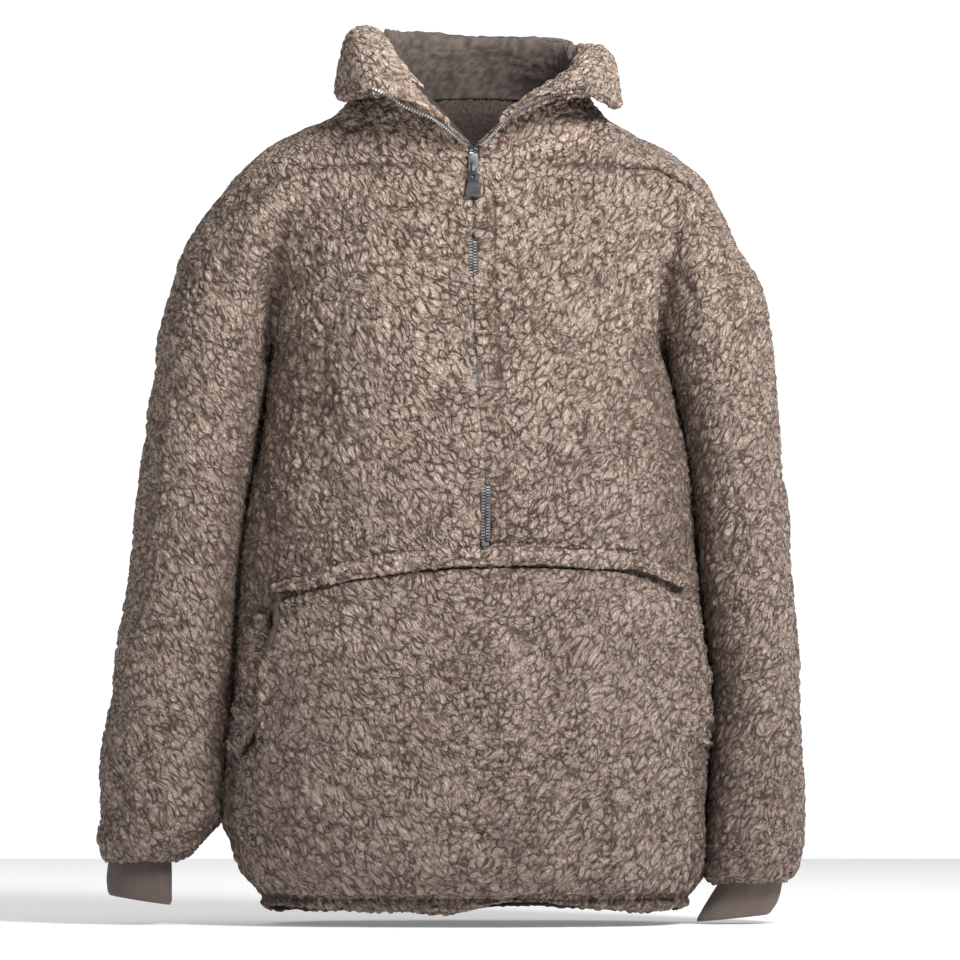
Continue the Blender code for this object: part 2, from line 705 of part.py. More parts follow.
def make_cuff(side, rib_knit):
    """A rib-knit tube whose ribs stand out over a plain inside."""
    name = "right" if side < 0 else "left"
    rows = CUFF[name]
    outer, inner = [], []
    count = 2 * CUFF_RIBS
    for row in reversed(range(len(rows))):
        x, forward, z, half_width, half_depth = (value * MM for value in rows[row])
        tilt = CUFF_TILT[name] * row / (len(rows) - 1)
        for step in range(count):
            turn = 2 * math.pi * step / count
            rib = RIB_HEIGHT if step % 2 else 0.0
            for layer, change in ((outer, rib - RIB_HEIGHT), (inner, -RIB_KNIT)):
                across = (half_width + change) * math.sin(turn)
                point = (x + across, -forward - (half_depth + change) * math.cos(turn), z - tilt * across)
                layer.append(np.array(point))
    wall("cuff_" + name, outer, inner, grid_loops(len(rows), count, closed=True), rib_knit)


def lining_top(place):
    """How many rows of the collar the plush covers: all of its back, but only the stand in front."""
    return float(smooth(LINING_EDGE["share"], LINING_EDGE["rows"], place))


def lining_stand(place):
    """The plush stands off the collar where its upper edge runs across the fold."""
    steep = min(abs(place - middle) for middle in LINING_STEEP)
    return LINING_GAP + LINING_BRIDGE * math.exp(-((steep / LINING_REACH) ** 2))


def make_collar_lining(shell, normals, plush):
    """Short plush on the inner side of the collar's stand and of its back."""
    points = np.array(shell.points)
    layers = Shell()
    inner = {}
    columns = []
    for place, column in shell.collar:
        top = min(COLLAR_ROWS, max(0.0, lining_top(place)))
        line = []
        for row in range(COLLAR_ROWS + 1):
            at = min(row, top)
            low = min(int(at), COLLAR_ROWS - 1)
            part = at - low
            face = FLEECE + lining_stand(place)
            ends = [points[column[i]] - normals[column[i]] * face for i in (low, low + 1)]
            deep = [points[column[i]] - normals[column[i]] * (face + LINING) for i in (low, low + 1)]
            line.append(ends[0] * (1 - part) + ends[1] * part)
            inner[layers.vertex(line[-1])] = deep[0] * (1 - part) + deep[1] * part
        columns.append(line)
    for near, far in zip(columns[1:-2], columns[2:-1]):
        add_strip(layers, "collar_lining", near, far, -1)
    loops = layers.cells["collar_lining"]
    wall("collar_lining", layers.points, [inner[i] for i in range(len(layers.points))], loops, plush)


def chain_frames(side, shell, normals):
    """Centre, width direction and outward direction at points up one half of the zip."""
    frames = []
    reach = SEAM_GAP + CHAIN_WIDTH / 2
    heights = np.linspace(ZIP_END, ARMPIT, ZIP_ROWS + 1)
    chest = np.linspace(ARMPIT, -36 * MM, CHEST_ROWS + 1)[1:]
    for z in [ZIP_END + STOP_HEIGHT + 1.7 * MM, *heights[1:], *chest]:
        edge = torso_point(side, -1, 0.0, z)
        slope = torso_point(side, -1, 0.0, z + 2 * MM) - torso_point(side, -1, 0.0, z - 2 * MM)
        inward = np.array((-side, 0.0, 0.0))
        out = np.cross(np.array((1.0, 0.0, 0.0)), slope)
        out /= np.linalg.norm(out)
        frames.append((edge + inward * reach - out * CHAIN_DEPTH / 2, inward, out))
    points = np.array(shell.points)
    columns = shell.collar if side < 0 else shell.collar[::-1]
    edge, following = columns[0][1], columns[1][1]
    for row in range(1, COLLAR_ROWS + 1):
        out = normals[edge[row]]
        away = points[edge[row]] - points[following[row]]
        along = points[edge[min(row + 1, COLLAR_ROWS)]] - points[edge[row - 1]]
        away -= along * (away @ along) / (along @ along)
        away -= out * (away @ out)
        away /= np.linalg.norm(away)
        ease = CHAIN_EASE * min(1, (row - CHAIN_EASE_START) / CHAIN_EASE_ROWS)
        frames.append((points[edge[row]] - out * FLEECE / 2 + away * (reach + ease), away, out))
    return frames


def make_chain(side, shell, normals, metal):
    """One half of the zip: up its slit, then along the open edge of the collar."""
    outer, inner = [], []
    for centre, away, out in chain_frames(side, shell, normals):
        for edge in (side, -side):
            place = centre + away * edge * CHAIN_WIDTH / 2
            outer.append(place + out * CHAIN_DEPTH / 2)
            inner.append(place - out * CHAIN_DEPTH / 2)
    name = "zip_chain_right" if side < 0 else "zip_chain_left"
    wall(name, outer, inner, grid_loops(len(outer) // 2, 2), metal)


def box(name, low, high, metal):
    """A box between two corners given in millimetres."""
    points = [np.array([(low, high)[(i >> axis) & 1][axis] for axis in range(3)]) * MM for i in range(8)]
    faces = [(0, 2, 3, 1), (4, 5, 7, 6), (0, 1, 5, 4), (2, 6, 7, 3), (0, 4, 6, 2), (1, 3, 7, 5)]
    return mesh_object(name, points, faces, metal, smooth_shade=False)


def prism(name, outline, near, far, metal):
    """An outline of (across, height) rows, counter-clockwise from the front, between two depths."""
    count = len(outline)
    points = [np.array((x, depth, z)) * MM for depth in (near, far) for x, z in outline]
    faces = [tuple(range(count)), tuple(reversed(range(count, 2 * count)))]
    faces += [(i, i + count, (i + 1) % count + count, (i + 1) % count) for i in range(count)]
    return mesh_object(name, points, faces, metal, smooth_shade=False)


def combine(target, helper, operation):
    modifier = target.modifiers.new(operation.lower(), "BOOLEAN")
    modifier.operation = operation
    modifier.object = helper
    modifier.solver = "EXACT"
    helper.hide_render = True
    helper.display_type = "WIRE"


def zip_face(z):
    """A point in the middle of the zip, level with the cloth, and the cloth's lean there."""
    low, high = (torso_point(1, -1, 0.0, z + step) for step in (-4 * MM, 4 * MM))
    point = torso_point(1, -1, 0.0, z)
    point[0] = zip_across(z)
    return point, -math.atan2(high[1] - low[1], high[2] - low[2])


def make_zip_hardware(metal, dark_metal):
    """The slider with its bridge, the pull tab that hangs from it, and the end stop."""
    place, lean = zip_face(PULL_PIVOT)
    front, back = -SLIDER_BACK, -SLIDER_BACK - SLIDER_THICK
    slider = prism("zip_slider", SLIDER_OUTLINE, back, front, metal)
    bridge = -BRIDGE_STAND
    bar = box("bridge_bar", (-1.2, bridge - 1.1, BRIDGE_LOW), (1.2, bridge, BRIDGE_HIGH), metal)
    for low, high in ((BRIDGE_LOW, BRIDGE_LOW + 1.2), (BRIDGE_HIGH - 1.2, BRIDGE_HIGH)):
        post = box("bridge_post", (-1.2, bridge - 0.5, low), (1.2, back + 0.5, high), metal)
        combine(bar, post, "UNION")
        post.location, post.rotation_euler = place, (lean, 0, 0)
    combine(slider, bar, "UNION")
    for piece in (slider, bar):
        piece.location, piece.rotation_euler = place, (lean, 0, 0)
    pivot = place + np.array((0.0, math.cos(lean), math.sin(lean))) * PULL_MIDDLE * MM
    pull = prism("zip_pull", PULL_OUTLINE, -PULL_THICK / 2, PULL_THICK / 2, dark_metal)
    eye = box("pull_eye", (-1.8, -2, -8.6), (1.8, 2, -0.7), dark_metal)
    combine(pull, eye, "DIFFERENCE")
    for piece in (pull, eye):
        piece.location, piece.rotation_euler = pivot, (lean, 0, 0)
    foot, foot_lean = zip_face(ZIP_END + STOP_HEIGHT / 2 + 1.2 * MM)
    half = STOP_HEIGHT / MM / 2
    stop = box("zip_stop", (-3.4, -0.4, -half), (3.4, 2.2, half), metal)
    stop.location, stop.rotation_euler = foot, (foot_lean, 0, 0)


def clear_scene():
    for obj in list(bpy.data.objects):
        bpy.data.objects.remove(obj, do_unlink=True)


def main():
    clear_scene()
    fleece = material("sherpa_fleece", (0.33, 0.26, 0.21), 0.95)
    rib_knit = material("rib_knit", (0.17, 0.135, 0.12), 0.9)
    plush = material("short_plush", (0.115, 0.09, 0.08), 0.95)
    metal = material("zip_metal", (0.55, 0.55, 0.56), 0.3, 1.0)
    dark_metal = material("gunmetal", (0.1, 0.1, 0.11), 0.35, 1.0)
    shell = build_shell()
    normals = make_garment(shell, fleece)
    make_collar_lining(shell, normals, plush)
    for side in (-1, 1):
        make_chain(side, shell, normals, metal)
    make_zip_hardware(metal, dark_metal)
    make_pocket(fleece)
    hem_places = np.linspace(POCKET_HEM_ENDS[0], POCKET_HEM_ENDS[1], 13)
    hem_route = [(x, pocket_line(x * MM) / MM) for x in hem_places]
    padded_band("pocket_hem", hem_route, BAND_HALF, BAND_RISE, BAND_EASE, 7, fleece)
    padded_band("pocket_edge_right", EDGE_ROUTE_RIGHT, BAND_HALF, EDGE_RISE, EDGE_EASE, 5, fleece)
    padded_band("pocket_edge_left", EDGE_ROUTE_LEFT, BAND_HALF, EDGE_RISE, EDGE_EASE, 5, fleece)
    for side in (-1, 1):
        make_cuff(side, rib_knit)


main()
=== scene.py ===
"""Half-zip pullover of sherpa fleece: the looks that go over its solids.

Metres, +Z up. The front faces -Y and +X is the wearer's left. Tables are in millimetres.
"""

import itertools
import json
import math

import bpy
import numpy as np
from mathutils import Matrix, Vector, bvhtree, kdtree

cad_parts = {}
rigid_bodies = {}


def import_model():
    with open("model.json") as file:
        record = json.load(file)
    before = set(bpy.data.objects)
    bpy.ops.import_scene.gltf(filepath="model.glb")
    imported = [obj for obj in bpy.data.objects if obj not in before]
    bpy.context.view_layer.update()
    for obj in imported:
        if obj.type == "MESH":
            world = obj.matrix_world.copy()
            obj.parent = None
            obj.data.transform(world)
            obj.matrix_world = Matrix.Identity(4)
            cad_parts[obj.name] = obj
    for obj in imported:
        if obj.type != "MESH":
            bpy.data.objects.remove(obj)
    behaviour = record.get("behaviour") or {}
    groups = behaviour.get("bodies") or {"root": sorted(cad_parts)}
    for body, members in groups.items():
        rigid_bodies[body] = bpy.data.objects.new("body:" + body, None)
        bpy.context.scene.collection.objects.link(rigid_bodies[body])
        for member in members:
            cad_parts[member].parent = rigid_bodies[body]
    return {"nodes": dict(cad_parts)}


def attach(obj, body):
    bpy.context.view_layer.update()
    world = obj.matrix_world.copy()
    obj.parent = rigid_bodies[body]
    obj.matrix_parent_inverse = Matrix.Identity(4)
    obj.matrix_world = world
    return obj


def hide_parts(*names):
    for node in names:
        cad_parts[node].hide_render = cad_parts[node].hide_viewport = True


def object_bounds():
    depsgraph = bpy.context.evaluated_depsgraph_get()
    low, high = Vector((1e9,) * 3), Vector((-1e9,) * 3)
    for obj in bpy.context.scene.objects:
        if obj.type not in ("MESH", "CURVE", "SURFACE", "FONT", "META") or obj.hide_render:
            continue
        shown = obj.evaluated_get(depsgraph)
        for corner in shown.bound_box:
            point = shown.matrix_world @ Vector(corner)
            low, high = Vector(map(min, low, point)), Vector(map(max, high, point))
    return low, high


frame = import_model()
CAD_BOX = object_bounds()

MM = 0.001

# Cloth and seams, as in the solids
FLEECE = 6.0 * MM
SLEEVE_CLEARANCE = 2.0 * MM
HEM_TOP = -737.0 * MM
HEM_BOTTOM = -754.0 * MM
ARMPIT = -223.0 * MM
ARMHOLE_OUTER = -187.0 * MM
NECK_FRONT = -29.0 * MM
NECK_SIDE = 12.0 * MM
NECK_BACK = 30.0 * MM
ZIP_END = -402.0 * MM
ZIP_SLIT = 10.0 * MM
CHAIN_EDGE = 2.4 * MM
SQUARE_FRONT = 2.35
SQUARE_BACK = 2.5

# Coarse cells of the solids' grid, and how finely each is divided here
FRONT_CELLS = 7
ARM_CELLS = 7
BACK_CELLS = 6
SEAM_CELL = 4
HEM_ROWS = 3
SKIRT_ROWS = 12
ZIP_ROWS = 7
CHEST_ROWS = 8
YOKE_ROWS = 3
SLEEVE_ROWS = 17
YOKE_START = 2
COARSE = 1
FRONT_FINE = 18 // COARSE
ARM_FINE = 9 // COARSE
BACK_FINE = 18 // COARSE
SKIRT_FINE = 12 // COARSE
WAIST_FINE = 9 // COARSE
CHEST_FINE = 9 // COARSE
YOKE_FINE = 6 // COARSE
HEM_FINE = 3
SLEEVE_FINE = 12 // COARSE

# Pile: how deep its crevices are, how far its tips stand out and hang, and how its clumps lie
PILE_DEPTH = 4.4 * MM
PILE_STAND = 0.6 * MM
PILE_FALL = 1.8 * MM
CLUMP = 9.0 * MM
CELL_JITTER = 0.9
SLOW_BEND, SLOW_BEND_SIZE = 5.0 * MM, 27 * MM
QUICK_BEND, QUICK_BEND_SIZE = 2.4 * MM, 10 * MM
TINY_BEND, TINY_BEND_SIZE = 0.9 * MM, 4 * MM
CREASE_SIZE = 17 * MM
PATCH_SIZE = 45 * MM
LIE_SKEW = 0.8
LIE_ROUND = 60.0 * MM
SEAM_REACH = 7.5 * MM
SEAM_DEPTH = 4.6 * MM
SEAM_LIP = 2.6 * MM
STITCH_ACROSS = 20.6 * MM
STITCH_TOP = -74.0 * MM
STITCH_PITCH = 3.6 * MM
TAPE_PITCH = 1.4 * MM
# Heights where the pile begins (1) or stops (-1) to cover the zip, and where its top is bare
ZIP_COVER = ((-352, -338, 1), (-146, -136, -1), (-112, -102, 1))
ZIP_BARE = (-75, -55)

# Folds of the arms and the chest that the solids leave out
LIMP_FOLDS = {
    "from_x": (
        -208, -219, -208, -188, -167, -178, -189, -224, -231, -182, -190, -193, -262, -250, -278,
        207, 186, 189, 208, 237, 248, 262, 250, 275,
    ),
    "from_z": (
        -90, -147, -88, -167, -118, -85, -48, -75, -117, -92, -120, -170, -330, -420, -560,
        -101, -141, -134, -154, -139, -170, -330, -450, -600,
    ),
    "to_x": (
        -219, -225, -188, -146, -119, -138, -224, -231, -245, -190, -193, -199, -300, -305, -318,
        224, 190, 208, 212, 248, 258, 300, 296, 322,
    ),
    "to_z": (
        -147, -194, -87, -131, -125, -74, -75, -117, -155, -120, -170, -225, -345, -455, -600,
        -184, -184, -154, -167, -170, -197, -352, -430, -640,
    ),
    "out": (
        4.0, 2.5, -2.5, -2.5, -2.0, -2.5, -3.0, -3.0, -3.0, -4.0, -4.5, -4.5, -2.5, 2.5, -3.0,
        3.5, -3.5, -3.0, -3.0, -2.5, -2.5, -2.5, 2.5, -3.0,
    ),
    "width": (
        9, 10, 4, 4.5, 4, 4, 7, 7, 8, 5, 6, 6, 8, 10, 9,
        10, 8, 4, 4, 6, 6, 8, 10, 9,
    ),
}
# How much further up the hem's lower edge sits than in the solids
HEM_LIFT = {"across": (-210, -160, -71, -40, 20, 210), "up": (9, 8, 6, 9, 7, 6)}

# Torso: its two sides, and how far its front and back stand from the plane of the shoulders
TORSO = {
    "height": (-760, -737, -712, -665, -609, -553, -475, -415, -358, -303, -263, -223,
               -190, -132, -101, -70, -36, -8, 14, 40),
    "right": (-200, -207, -226, -240, -237, -231, -226, -221, -215, -204, -198, -194,
              -192, -190, -184, -172, -155, -128, -108, -90),
    "left": (202, 207, 217, 219, 220, 223, 216, 212, 208, 201, 192, 183,
             179, 186, 192, 190, 169, 132, 106, 90),
    "front": (138, 143, 157, 164, 164, 162, 158, 154, 151, 148, 146, 143,
              140, 131, 124, 115, 104, 95, 87, 76),
    "back": (116, 121, 132, 137, 137, 135, 133, 132, 131, 131, 131, 131,
             130, 128, 124, 118, 109, 99, 91, 82),
}

# Dropped shoulders: their outlines, the half depth of the upper arm, and how much of that
# depth the crease beside the chest and the one beside the back have, where 1 is no crease
SHOULDER = {
    "height": (-223, -205, -187, -156, -129, -102, -75, -48, -35, -21, -8, 6, 14, 40),
    "right": (-307, -305, -302, -293, -285, -270, -255, -234, -219, -202, -179, -145, -130, -110),
    "left": (287, 286, 284, 276, 263, 250, 237, 220, 204, 187, 161, 133, 122, 108),
    "arm": (82, 83, 84, 86, 88, 89, 89, 87, 84, 80, 75, 69, 65, 58),
    "front_crease": (0, 0.34, 0.5, 0.68, 0.82, 0.93, 0.98, 1, 1, 1, 1, 1, 1, 1),
    "back_crease": (0, 0.42, 0.62, 0.8, 0.92, 0.98, 1, 1, 1, 1, 1, 1, 1, 1),
}

# Sleeves: outer and inner outline, half depth, and how far the sleeve hangs forward
SLEEVE = {
    "right": {
        "height": (-705, -698, -684, -665, -609, -540, -475, -384, -303, -223),
        "outer": (-356, -359, -363, -361, -360, -350, -341, -326, -318, -307),
        "inner": (-284, -272, -258, -246, -238, -231, -228, -221, -206, -196),
        "depth": (38, 50, 62, 68, 70, 71, 72, 74, 78, 82),
        "forward": (26, 25, 24, 22, 19, 15, 11, 6, 2, 0),
    },
    "left": {
        "height": (-725, -716, -700, -665, -609, -540, -475, -384, -303, -223),
        "outer": (303, 311, 316, 317, 316, 314, 310, 303, 295, 287),
        "inner": (231, 225, 224, 226, 230, 234, 225, 213, 203, 186),
        "depth": (34, 48, 60, 68, 70, 71, 72, 74, 78, 82),
        "forward": (10, 11, 12, 14, 14, 12, 9, 5, 2, 0),
    },
}

# Cuffs, upper end first: centre across, centre forward, height, half width, half depth
CUFF = {
    "right": ((-320, 26, -699, 29.3, 31.3), (-321, 27, -722, 30.5, 32), (-320, 28, -740, 31, 32)),
    "left": ((267, 10, -719, 28.6, 26.6), (257, 8, -742, 34, 28), (248, 7, -758, 36, 28)),
}
CUFF_TILT = {"right": 0.16, "left": -0.1}
CUFF_RIBS = 40
RIB_HEIGHT = 0.9 * MM

# The zip drifts to the wearer's left as it goes down
ZIP_LINE = {"height": (-760, -402, -318, -290, -250, -200, 40), "across": (11, 11, 10, 7, 4, 1, 0)}

# Collar sections from the right front edge round the back to the left one, each with the
# place of its roll line, the middle of what is turned out, and its free edge
COLLAR = {
    "share": (
        0, 0.06, 0.13, 0.21, 0.29, 0.36, 0.42, 0.46, 0.5, 0.54, 0.58, 0.64, 0.71, 0.79, 0.87, 0.94,
        1
    ),
    "roll_x": (-9, -32, -57, -78, -90, -97, -76, -41, 0, 41, 80, 103, 100, 90, 65, 32, 9),
    "roll_y": (-101, -101, -92, -68, -38, 6, 50, 74, 83, 75, 52, 8, -38, -66, -91, -101, -101),
    "roll_z": (-19, 6, 29, 55, 74, 80, 77, 74, 73, 71, 67, 62, 53, 39, 24, 4, -19),
    "turn_x": (-48, -78, -98, -110, -113, -105, -78, -41, 0, 41, 81, 109, 121, 122, 107, 81, 52),
    "turn_y": (-126, -124, -110, -78, -37, 14, 56, 78, 87, 79, 57, 14, -37, -76, -108, -124, -126),
    "turn_z": (10, 34, 57, 77, 85, 86, 84, 82, 80, 78, 75, 72, 69, 58, 44, 26, 14),
    "edge_x": (
        -98, -112, -121, -125, -126, -117, -84, -42, 0, 42, 88, 119, 131, 135, 130, 122, 112
    ),
    "edge_y": (-130, -114, -86, -48, -12, 26, 64, 84, 91, 85, 66, 26, -12, -48, -86, -114, -130),
    "edge_z": (29, 24, 22, 25, 34, 58, 84, 86, 84, 82, 77, 55, 32, 18, 16, 24, 34),
}
# Plush lining of the collar: its upper edge in rows of the collar, and where that edge is steep
LINING_EDGE = {
    "share": (0, 0.1, 0.25, 0.375, 0.44, 0.5, 0.58, 0.64, 0.75, 0.9, 1),
    "rows": (0, 1.9, 2.2, 2.5, 7.2, 7.6, 7.2, 2.5, 2.1, 1.8, 0),
}
# Kangaroo pocket: its side edges at some heights, its top edge, and how it stands off the front
POCKET = {
    "height": (-740, -612, -604, -592, -573, -547, -517, -497, -470, -440),
    "right": (-245, -237, -219, -204, -201, -195, -189, -183, -178, -184),
    "left": (225, 219, 217, 213, 209, 207, 205, 203, 201, 200),
}
POCKET_TOP = {
    "across": (-240, -189, -119, -71, 6, 83, 159, 207, 240),
    "height": (-446, -442, -425, -417, -411, -412, -420, -441, -446),
}
# Padded strips on the front, as rows of place across and height
POCKET_HEM_ENDS = (-190, 198)
EDGE_ROUTE_RIGHT = ((-199, -466), (-205, -500), (-211, -540), (-219, -575), (-229, -603))
EDGE_ROUTE_LEFT = ((203, -455), (209, -500), (216, -553), (216, -580), (213, -598))

# Folds: a line down the cloth, its half width, and how far it stands out
CHEST_FOLDS = {
    "from_x": (-158, 128, -100),
    "from_z": (-250, -240, -150),
    "to_x": (-140, 160, -120),
    "to_z": (-350, -320, -260),
    "width": (26, 22, 26),
    "out": (-5, -5, 3),
}
POCKET_FOLDS = {
    "from_x": (-5, 52, -120, 125),
    "from_z": (-450, -480, -500, -560),
    "to_x": (80, 108, -160, 175),
    "to_z": (-725, -735, -720, -725),
    "width": (34, 20, 30, 26),
    "out": (9, -9, 5, -4),
}
BACK_FOLDS = {
    "from_x": (-60, 70, 0, -130, 125),
    "from_z": (-200, -380, -120, -420, -180),
    "to_x": (-110, 130, 15, -60, 60),
    "to_z": (-520, -700, -330, -700, -420),
    "width": (34, 32, 40, 30, 30),
    "out": (6, 6, -5, -5, 4),
}

# The hem's lower edge rises and falls across the front
HEM_WAVE = {
    "across": (-210, -71, -22, -3, 23, 62, 85, 121, 178, 210),
    "drop": (4, 4, 9, 5, -2, -8, -5, 1, 3, 0),
}


def smooth(heights, values, at):
    """A smooth curve through the rows of a table, read at one or more places."""
    xs = np.asarray(heights, float)
    ys = np.asarray(values, float)
    slopes = np.gradient(ys, xs)
    at = np.clip(np.asarray(at, float), xs[0], xs[-1])
    left = np.clip(np.searchsorted(xs, at, side="right") - 1, 0, len(xs) - 2)
    span = xs[left + 1] - xs[left]
    t = (at - xs[left]) / span
    rise = t * t * (3 - 2 * t)
    start = t * (1 - t) ** 2 * span * slopes[left]
    end = t * t * (t - 1) * span * slopes[left + 1]
    return ys[left] * (1 - rise) + ys[left + 1] * rise + start + end


def read(table, column, height):
    """A table's column at heights given in metres. Lengths come back in metres."""
    return smooth(table["height"], table[column], np.asarray(height) / MM) * MM


def share(table, column, height):
    return np.clip(smooth(table["height"], table[column], np.asarray(height) / MM), 0, 1)


def soft_step(value, low, high):
    part = np.clip((np.asarray(value, float) - low) / (high - low), 0, 1)
    return part * part * (3 - 2 * part)


def zip_across(height):
    return read(ZIP_LINE, "across", height)


def fold_out(folds, x, z):
    """How far a table of folds lifts the cloth at some places."""
    total = np.zeros(np.broadcast(x, z).shape)
    for row in range(len(folds["out"])):
        start = np.array((folds["from_x"][row], folds["from_z"][row])) * MM
        along = np.array((folds["to_x"][row], folds["to_z"][row])) * MM - start
        near = np.clip(
            ((x - start[0]) * along[0] + (z - start[1]) * along[1]) / (along @ along), 0, 1
        )
        away = np.hypot(x - start[0] - near * along[0], z - start[1] - near * along[1])
        total += folds["out"][row] * MM * np.exp(-((away / (folds["width"][row] * MM)) ** 2))
    return total


def crease_depth(z, face):
    column = "front_crease" if face < 0 else "back_crease"
    return np.where(z > ARMPIT, read(SHOULDER, "arm", z) * share(SHOULDER, column, z), 0.0)


def torso_point(side, face, q, z):
    """Points of the torso: q runs from the middle (0) to the side or the crease (1)."""
    q, z = np.broadcast_arrays(np.asarray(q, float), np.asarray(z, float))
    square = SQUARE_FRONT if face < 0 else SQUARE_BACK
    depth = read(TORSO, "front" if face < 0 else "back", z)
    middle = zip_across(z) + side * ZIP_SLIT / 2 if face < 0 else np.zeros(z.shape)
    width = read(TORSO, "right" if side < 0 else "left", z) - middle
    lowest = np.arcsin(np.minimum(1.0, crease_depth(z, face) / depth) ** (square / 2))
    turn = math.pi / 2 * (1 - q) + lowest * q
    x = middle + width * (np.clip(np.cos(turn), 0, 1) / np.cos(lowest)) ** (2 / square)
    y = face * depth * np.clip(np.sin(turn), 0, 1) ** (2 / square)
    edge = np.sin(math.pi / 2 * np.minimum(1.0, 2 * (1 - q)))
    folds = CHEST_FOLDS if face < 0 else BACK_FOLDS
    return np.stack([x, y + face * edge * fold_out(folds, x, z), z], axis=-1)


def arm_point(side, face, r, z):
    """Points of the dropped shoulder: r runs from the crease (0) to the shoulder's ridge (1)."""
    r, z = np.broadcast_arrays(np.asarray(r, float), np.asarray(z, float))
    crease = torso_point(side, face, 1.0, z)[..., 0]
    ridge = read(SHOULDER, "right" if side < 0 else "left", z)
    depth = read(SHOULDER, "arm", z)
    last = math.pi - np.arcsin(np.minimum(1.0, crease_depth(z, face) / depth))
    turn = last * (1 - r)
    x = ridge + (crease - ridge) * (1 - np.cos(turn)) / (1 - np.cos(last))
    return np.stack([x, face * depth * np.sin(turn), z], axis=-1)


def sleeve_point(side, turn, z):
    """Points of a sleeve's rings: the turn is 0 at the outer line and pi at the inner line."""
    table = SLEEVE["right" if side < 0 else "left"]
    body = read(TORSO, "right" if side < 0 else "left", z) + side * SLEEVE_CLEARANCE
    outer, inner = read(table, "outer", z), read(table, "inner", z)
    inner = np.where(z > HEM_BOTTOM, side * np.maximum(side * inner, side * body), inner)
    x = outer + (inner - outer) * (1 - np.cos(turn)) / 2
    return np.stack(
        [x, -read(table, "forward", z) - np.sin(turn) * read(table, "depth", z), z], axis=-1
    )


def neck_height(place):
    front = NECK_FRONT + (NECK_SIDE - NECK_FRONT) * np.sin(math.pi / 2 * np.clip(place, 0, 1)) ** 2
    back = NECK_SIDE + (NECK_BACK - NECK_SIDE) * np.sin(math.pi / 2 * np.clip(place - 1, 0, 1)) ** 2
    return np.where(place < 1, front, back)


# Random fields


def hashed(cells, seed):
    """Numbers from 0 to 1 for whole-number cells, the same on each run."""
    mask = 0xFFFFFFFF
    n = (cells[..., 0] * 73856093) ^ (cells[..., 1] * 19349663) ^ (cells[..., 2] * 83492791)
    n = (n ^ (seed * 668265263)) & mask
    for _ in range(2):
        n = ((n ^ (n >> 16)) * 0x45D9F3B) & mask
    return ((n ^ (n >> 16)) & mask) / mask


def drift(points, size, seed):
    """Smooth noise from -1 to 1."""
    scaled = points / size
    base = np.floor(scaled).astype(np.int64)
    part = scaled - base
    part = part * part * (3 - 2 * part)
    total = np.zeros(len(points))
    for corner in itertools.product((0, 1), repeat=3):
        weight = np.prod(np.where(np.array(corner), part, 1 - part), axis=1)
        total += weight * hashed(base + np.array(corner), seed)
    return total * 2 - 1


def cells(points, seed):
    """Distance to the nearest and the second nearest cell centre, and that cell's own number."""
    base = np.floor(points).astype(np.int64)
    first = np.full(len(points), 9.0)
    second = first.copy()
    tone = np.zeros(len(points))
    for offset in itertools.product((-1, 0, 1), repeat=3):
        cell = base + np.array(offset)
        shift = np.stack([hashed(cell, seed + axis) for axis in range(3)], axis=1) - 0.5
        away = np.linalg.norm(cell + 0.5 + CELL_JITTER * shift - points, axis=1)
        closer = away < first
        second = np.where(closer, first, np.minimum(second, away))
        tone = np.where(closer, shift[:, 0] + 0.5, tone)
        first = np.where(closer, away, first)
    return first, second, tone


def pressed(points):
    """How far the strip beside the zip and its stitches hold the pile down."""
    x, y, z = points.T
    across = x - zip_across(z)
    there = (y < -0.05) * soft_step(z, ZIP_END, ZIP_END + 6 * MM) * (
        1 - soft_step(z, STITCH_TOP, STITCH_TOP + 10 * MM)
    )
    line = np.exp(-(((across - STITCH_ACROSS) / (1.8 * MM)) ** 2))
    strip = soft_step(across, 0, 2 * MM) * (
        1 - soft_step(across, STITCH_ACROSS, STITCH_ACROSS + 4 * MM)
    )
    return there * np.maximum(0.85 * line, 0.32 * strip)


def lie(points, seed=11):
    """Places bent by slow drifts and skewed, so that round cells become curls that lie down."""
    bent = points.copy()
    for axis in range(3):
        bent[:, axis] += SLOW_BEND * drift(points, SLOW_BEND_SIZE, seed + 20 + axis)
        bent[:, axis] += QUICK_BEND * drift(points, QUICK_BEND_SIZE, seed + 30 + axis)
    bent[:, 2] -= LIE_SKEW * np.hypot(points[:, 0], LIE_ROUND)
    return bent


def pile(points, seed=11, size=1.0):
    """Height of the pile from 0 (crevices) to 1 (tips), each clump's tone and the pile's lie."""
    places = lie(points, seed)
    bent = places.copy()
    for axis in range(3):
        bent[:, axis] += TINY_BEND * drift(points, TINY_BEND_SIZE, seed + 40 + axis)
    bent /= size
    first, second, tone = cells(bent / CLUMP, seed)
    crevice = np.clip((second - first) / 0.5, 0, 1) ** 0.6
    dome = np.clip(1 - (first / 1.05) ** 2, 0, 1)
    # Long creases, where a slow noise passes its middle
    crease = np.clip(np.abs(drift(bent, CREASE_SIZE, seed + 60)) / 0.3, 0, 1) ** 0.6
    height = np.clip(
        1.25 * (0.2 + 0.8 * crevice) * (0.55 + 0.45 * dome) * (0.5 + 0.5 * crease), 0, 1
    )
    # Some patches lie flatter than others
    lively = 0.84 + 0.26 * drift(points, PATCH_SIZE, seed + 50)
    height = 1 - (1 - height) * np.clip(lively, 0.4, 1.1)
    return np.clip(height, 0, 1) * (1 - pressed(points)), tone, places


# The welded surface


class Block:
    """A grid of points with the lines of its coarse cells and the panel of each coarse cell."""

    def __init__(self, points, column_lines, row_lines, panel, side):
        self.points = points
        self.column_lines = column_lines
        self.row_lines = row_lines
        self.panel = panel
        self.side = side
        self.ids = None


def fine_lines(counts):
    return np.concatenate([[0], np.cumsum(counts)]).astype(int)


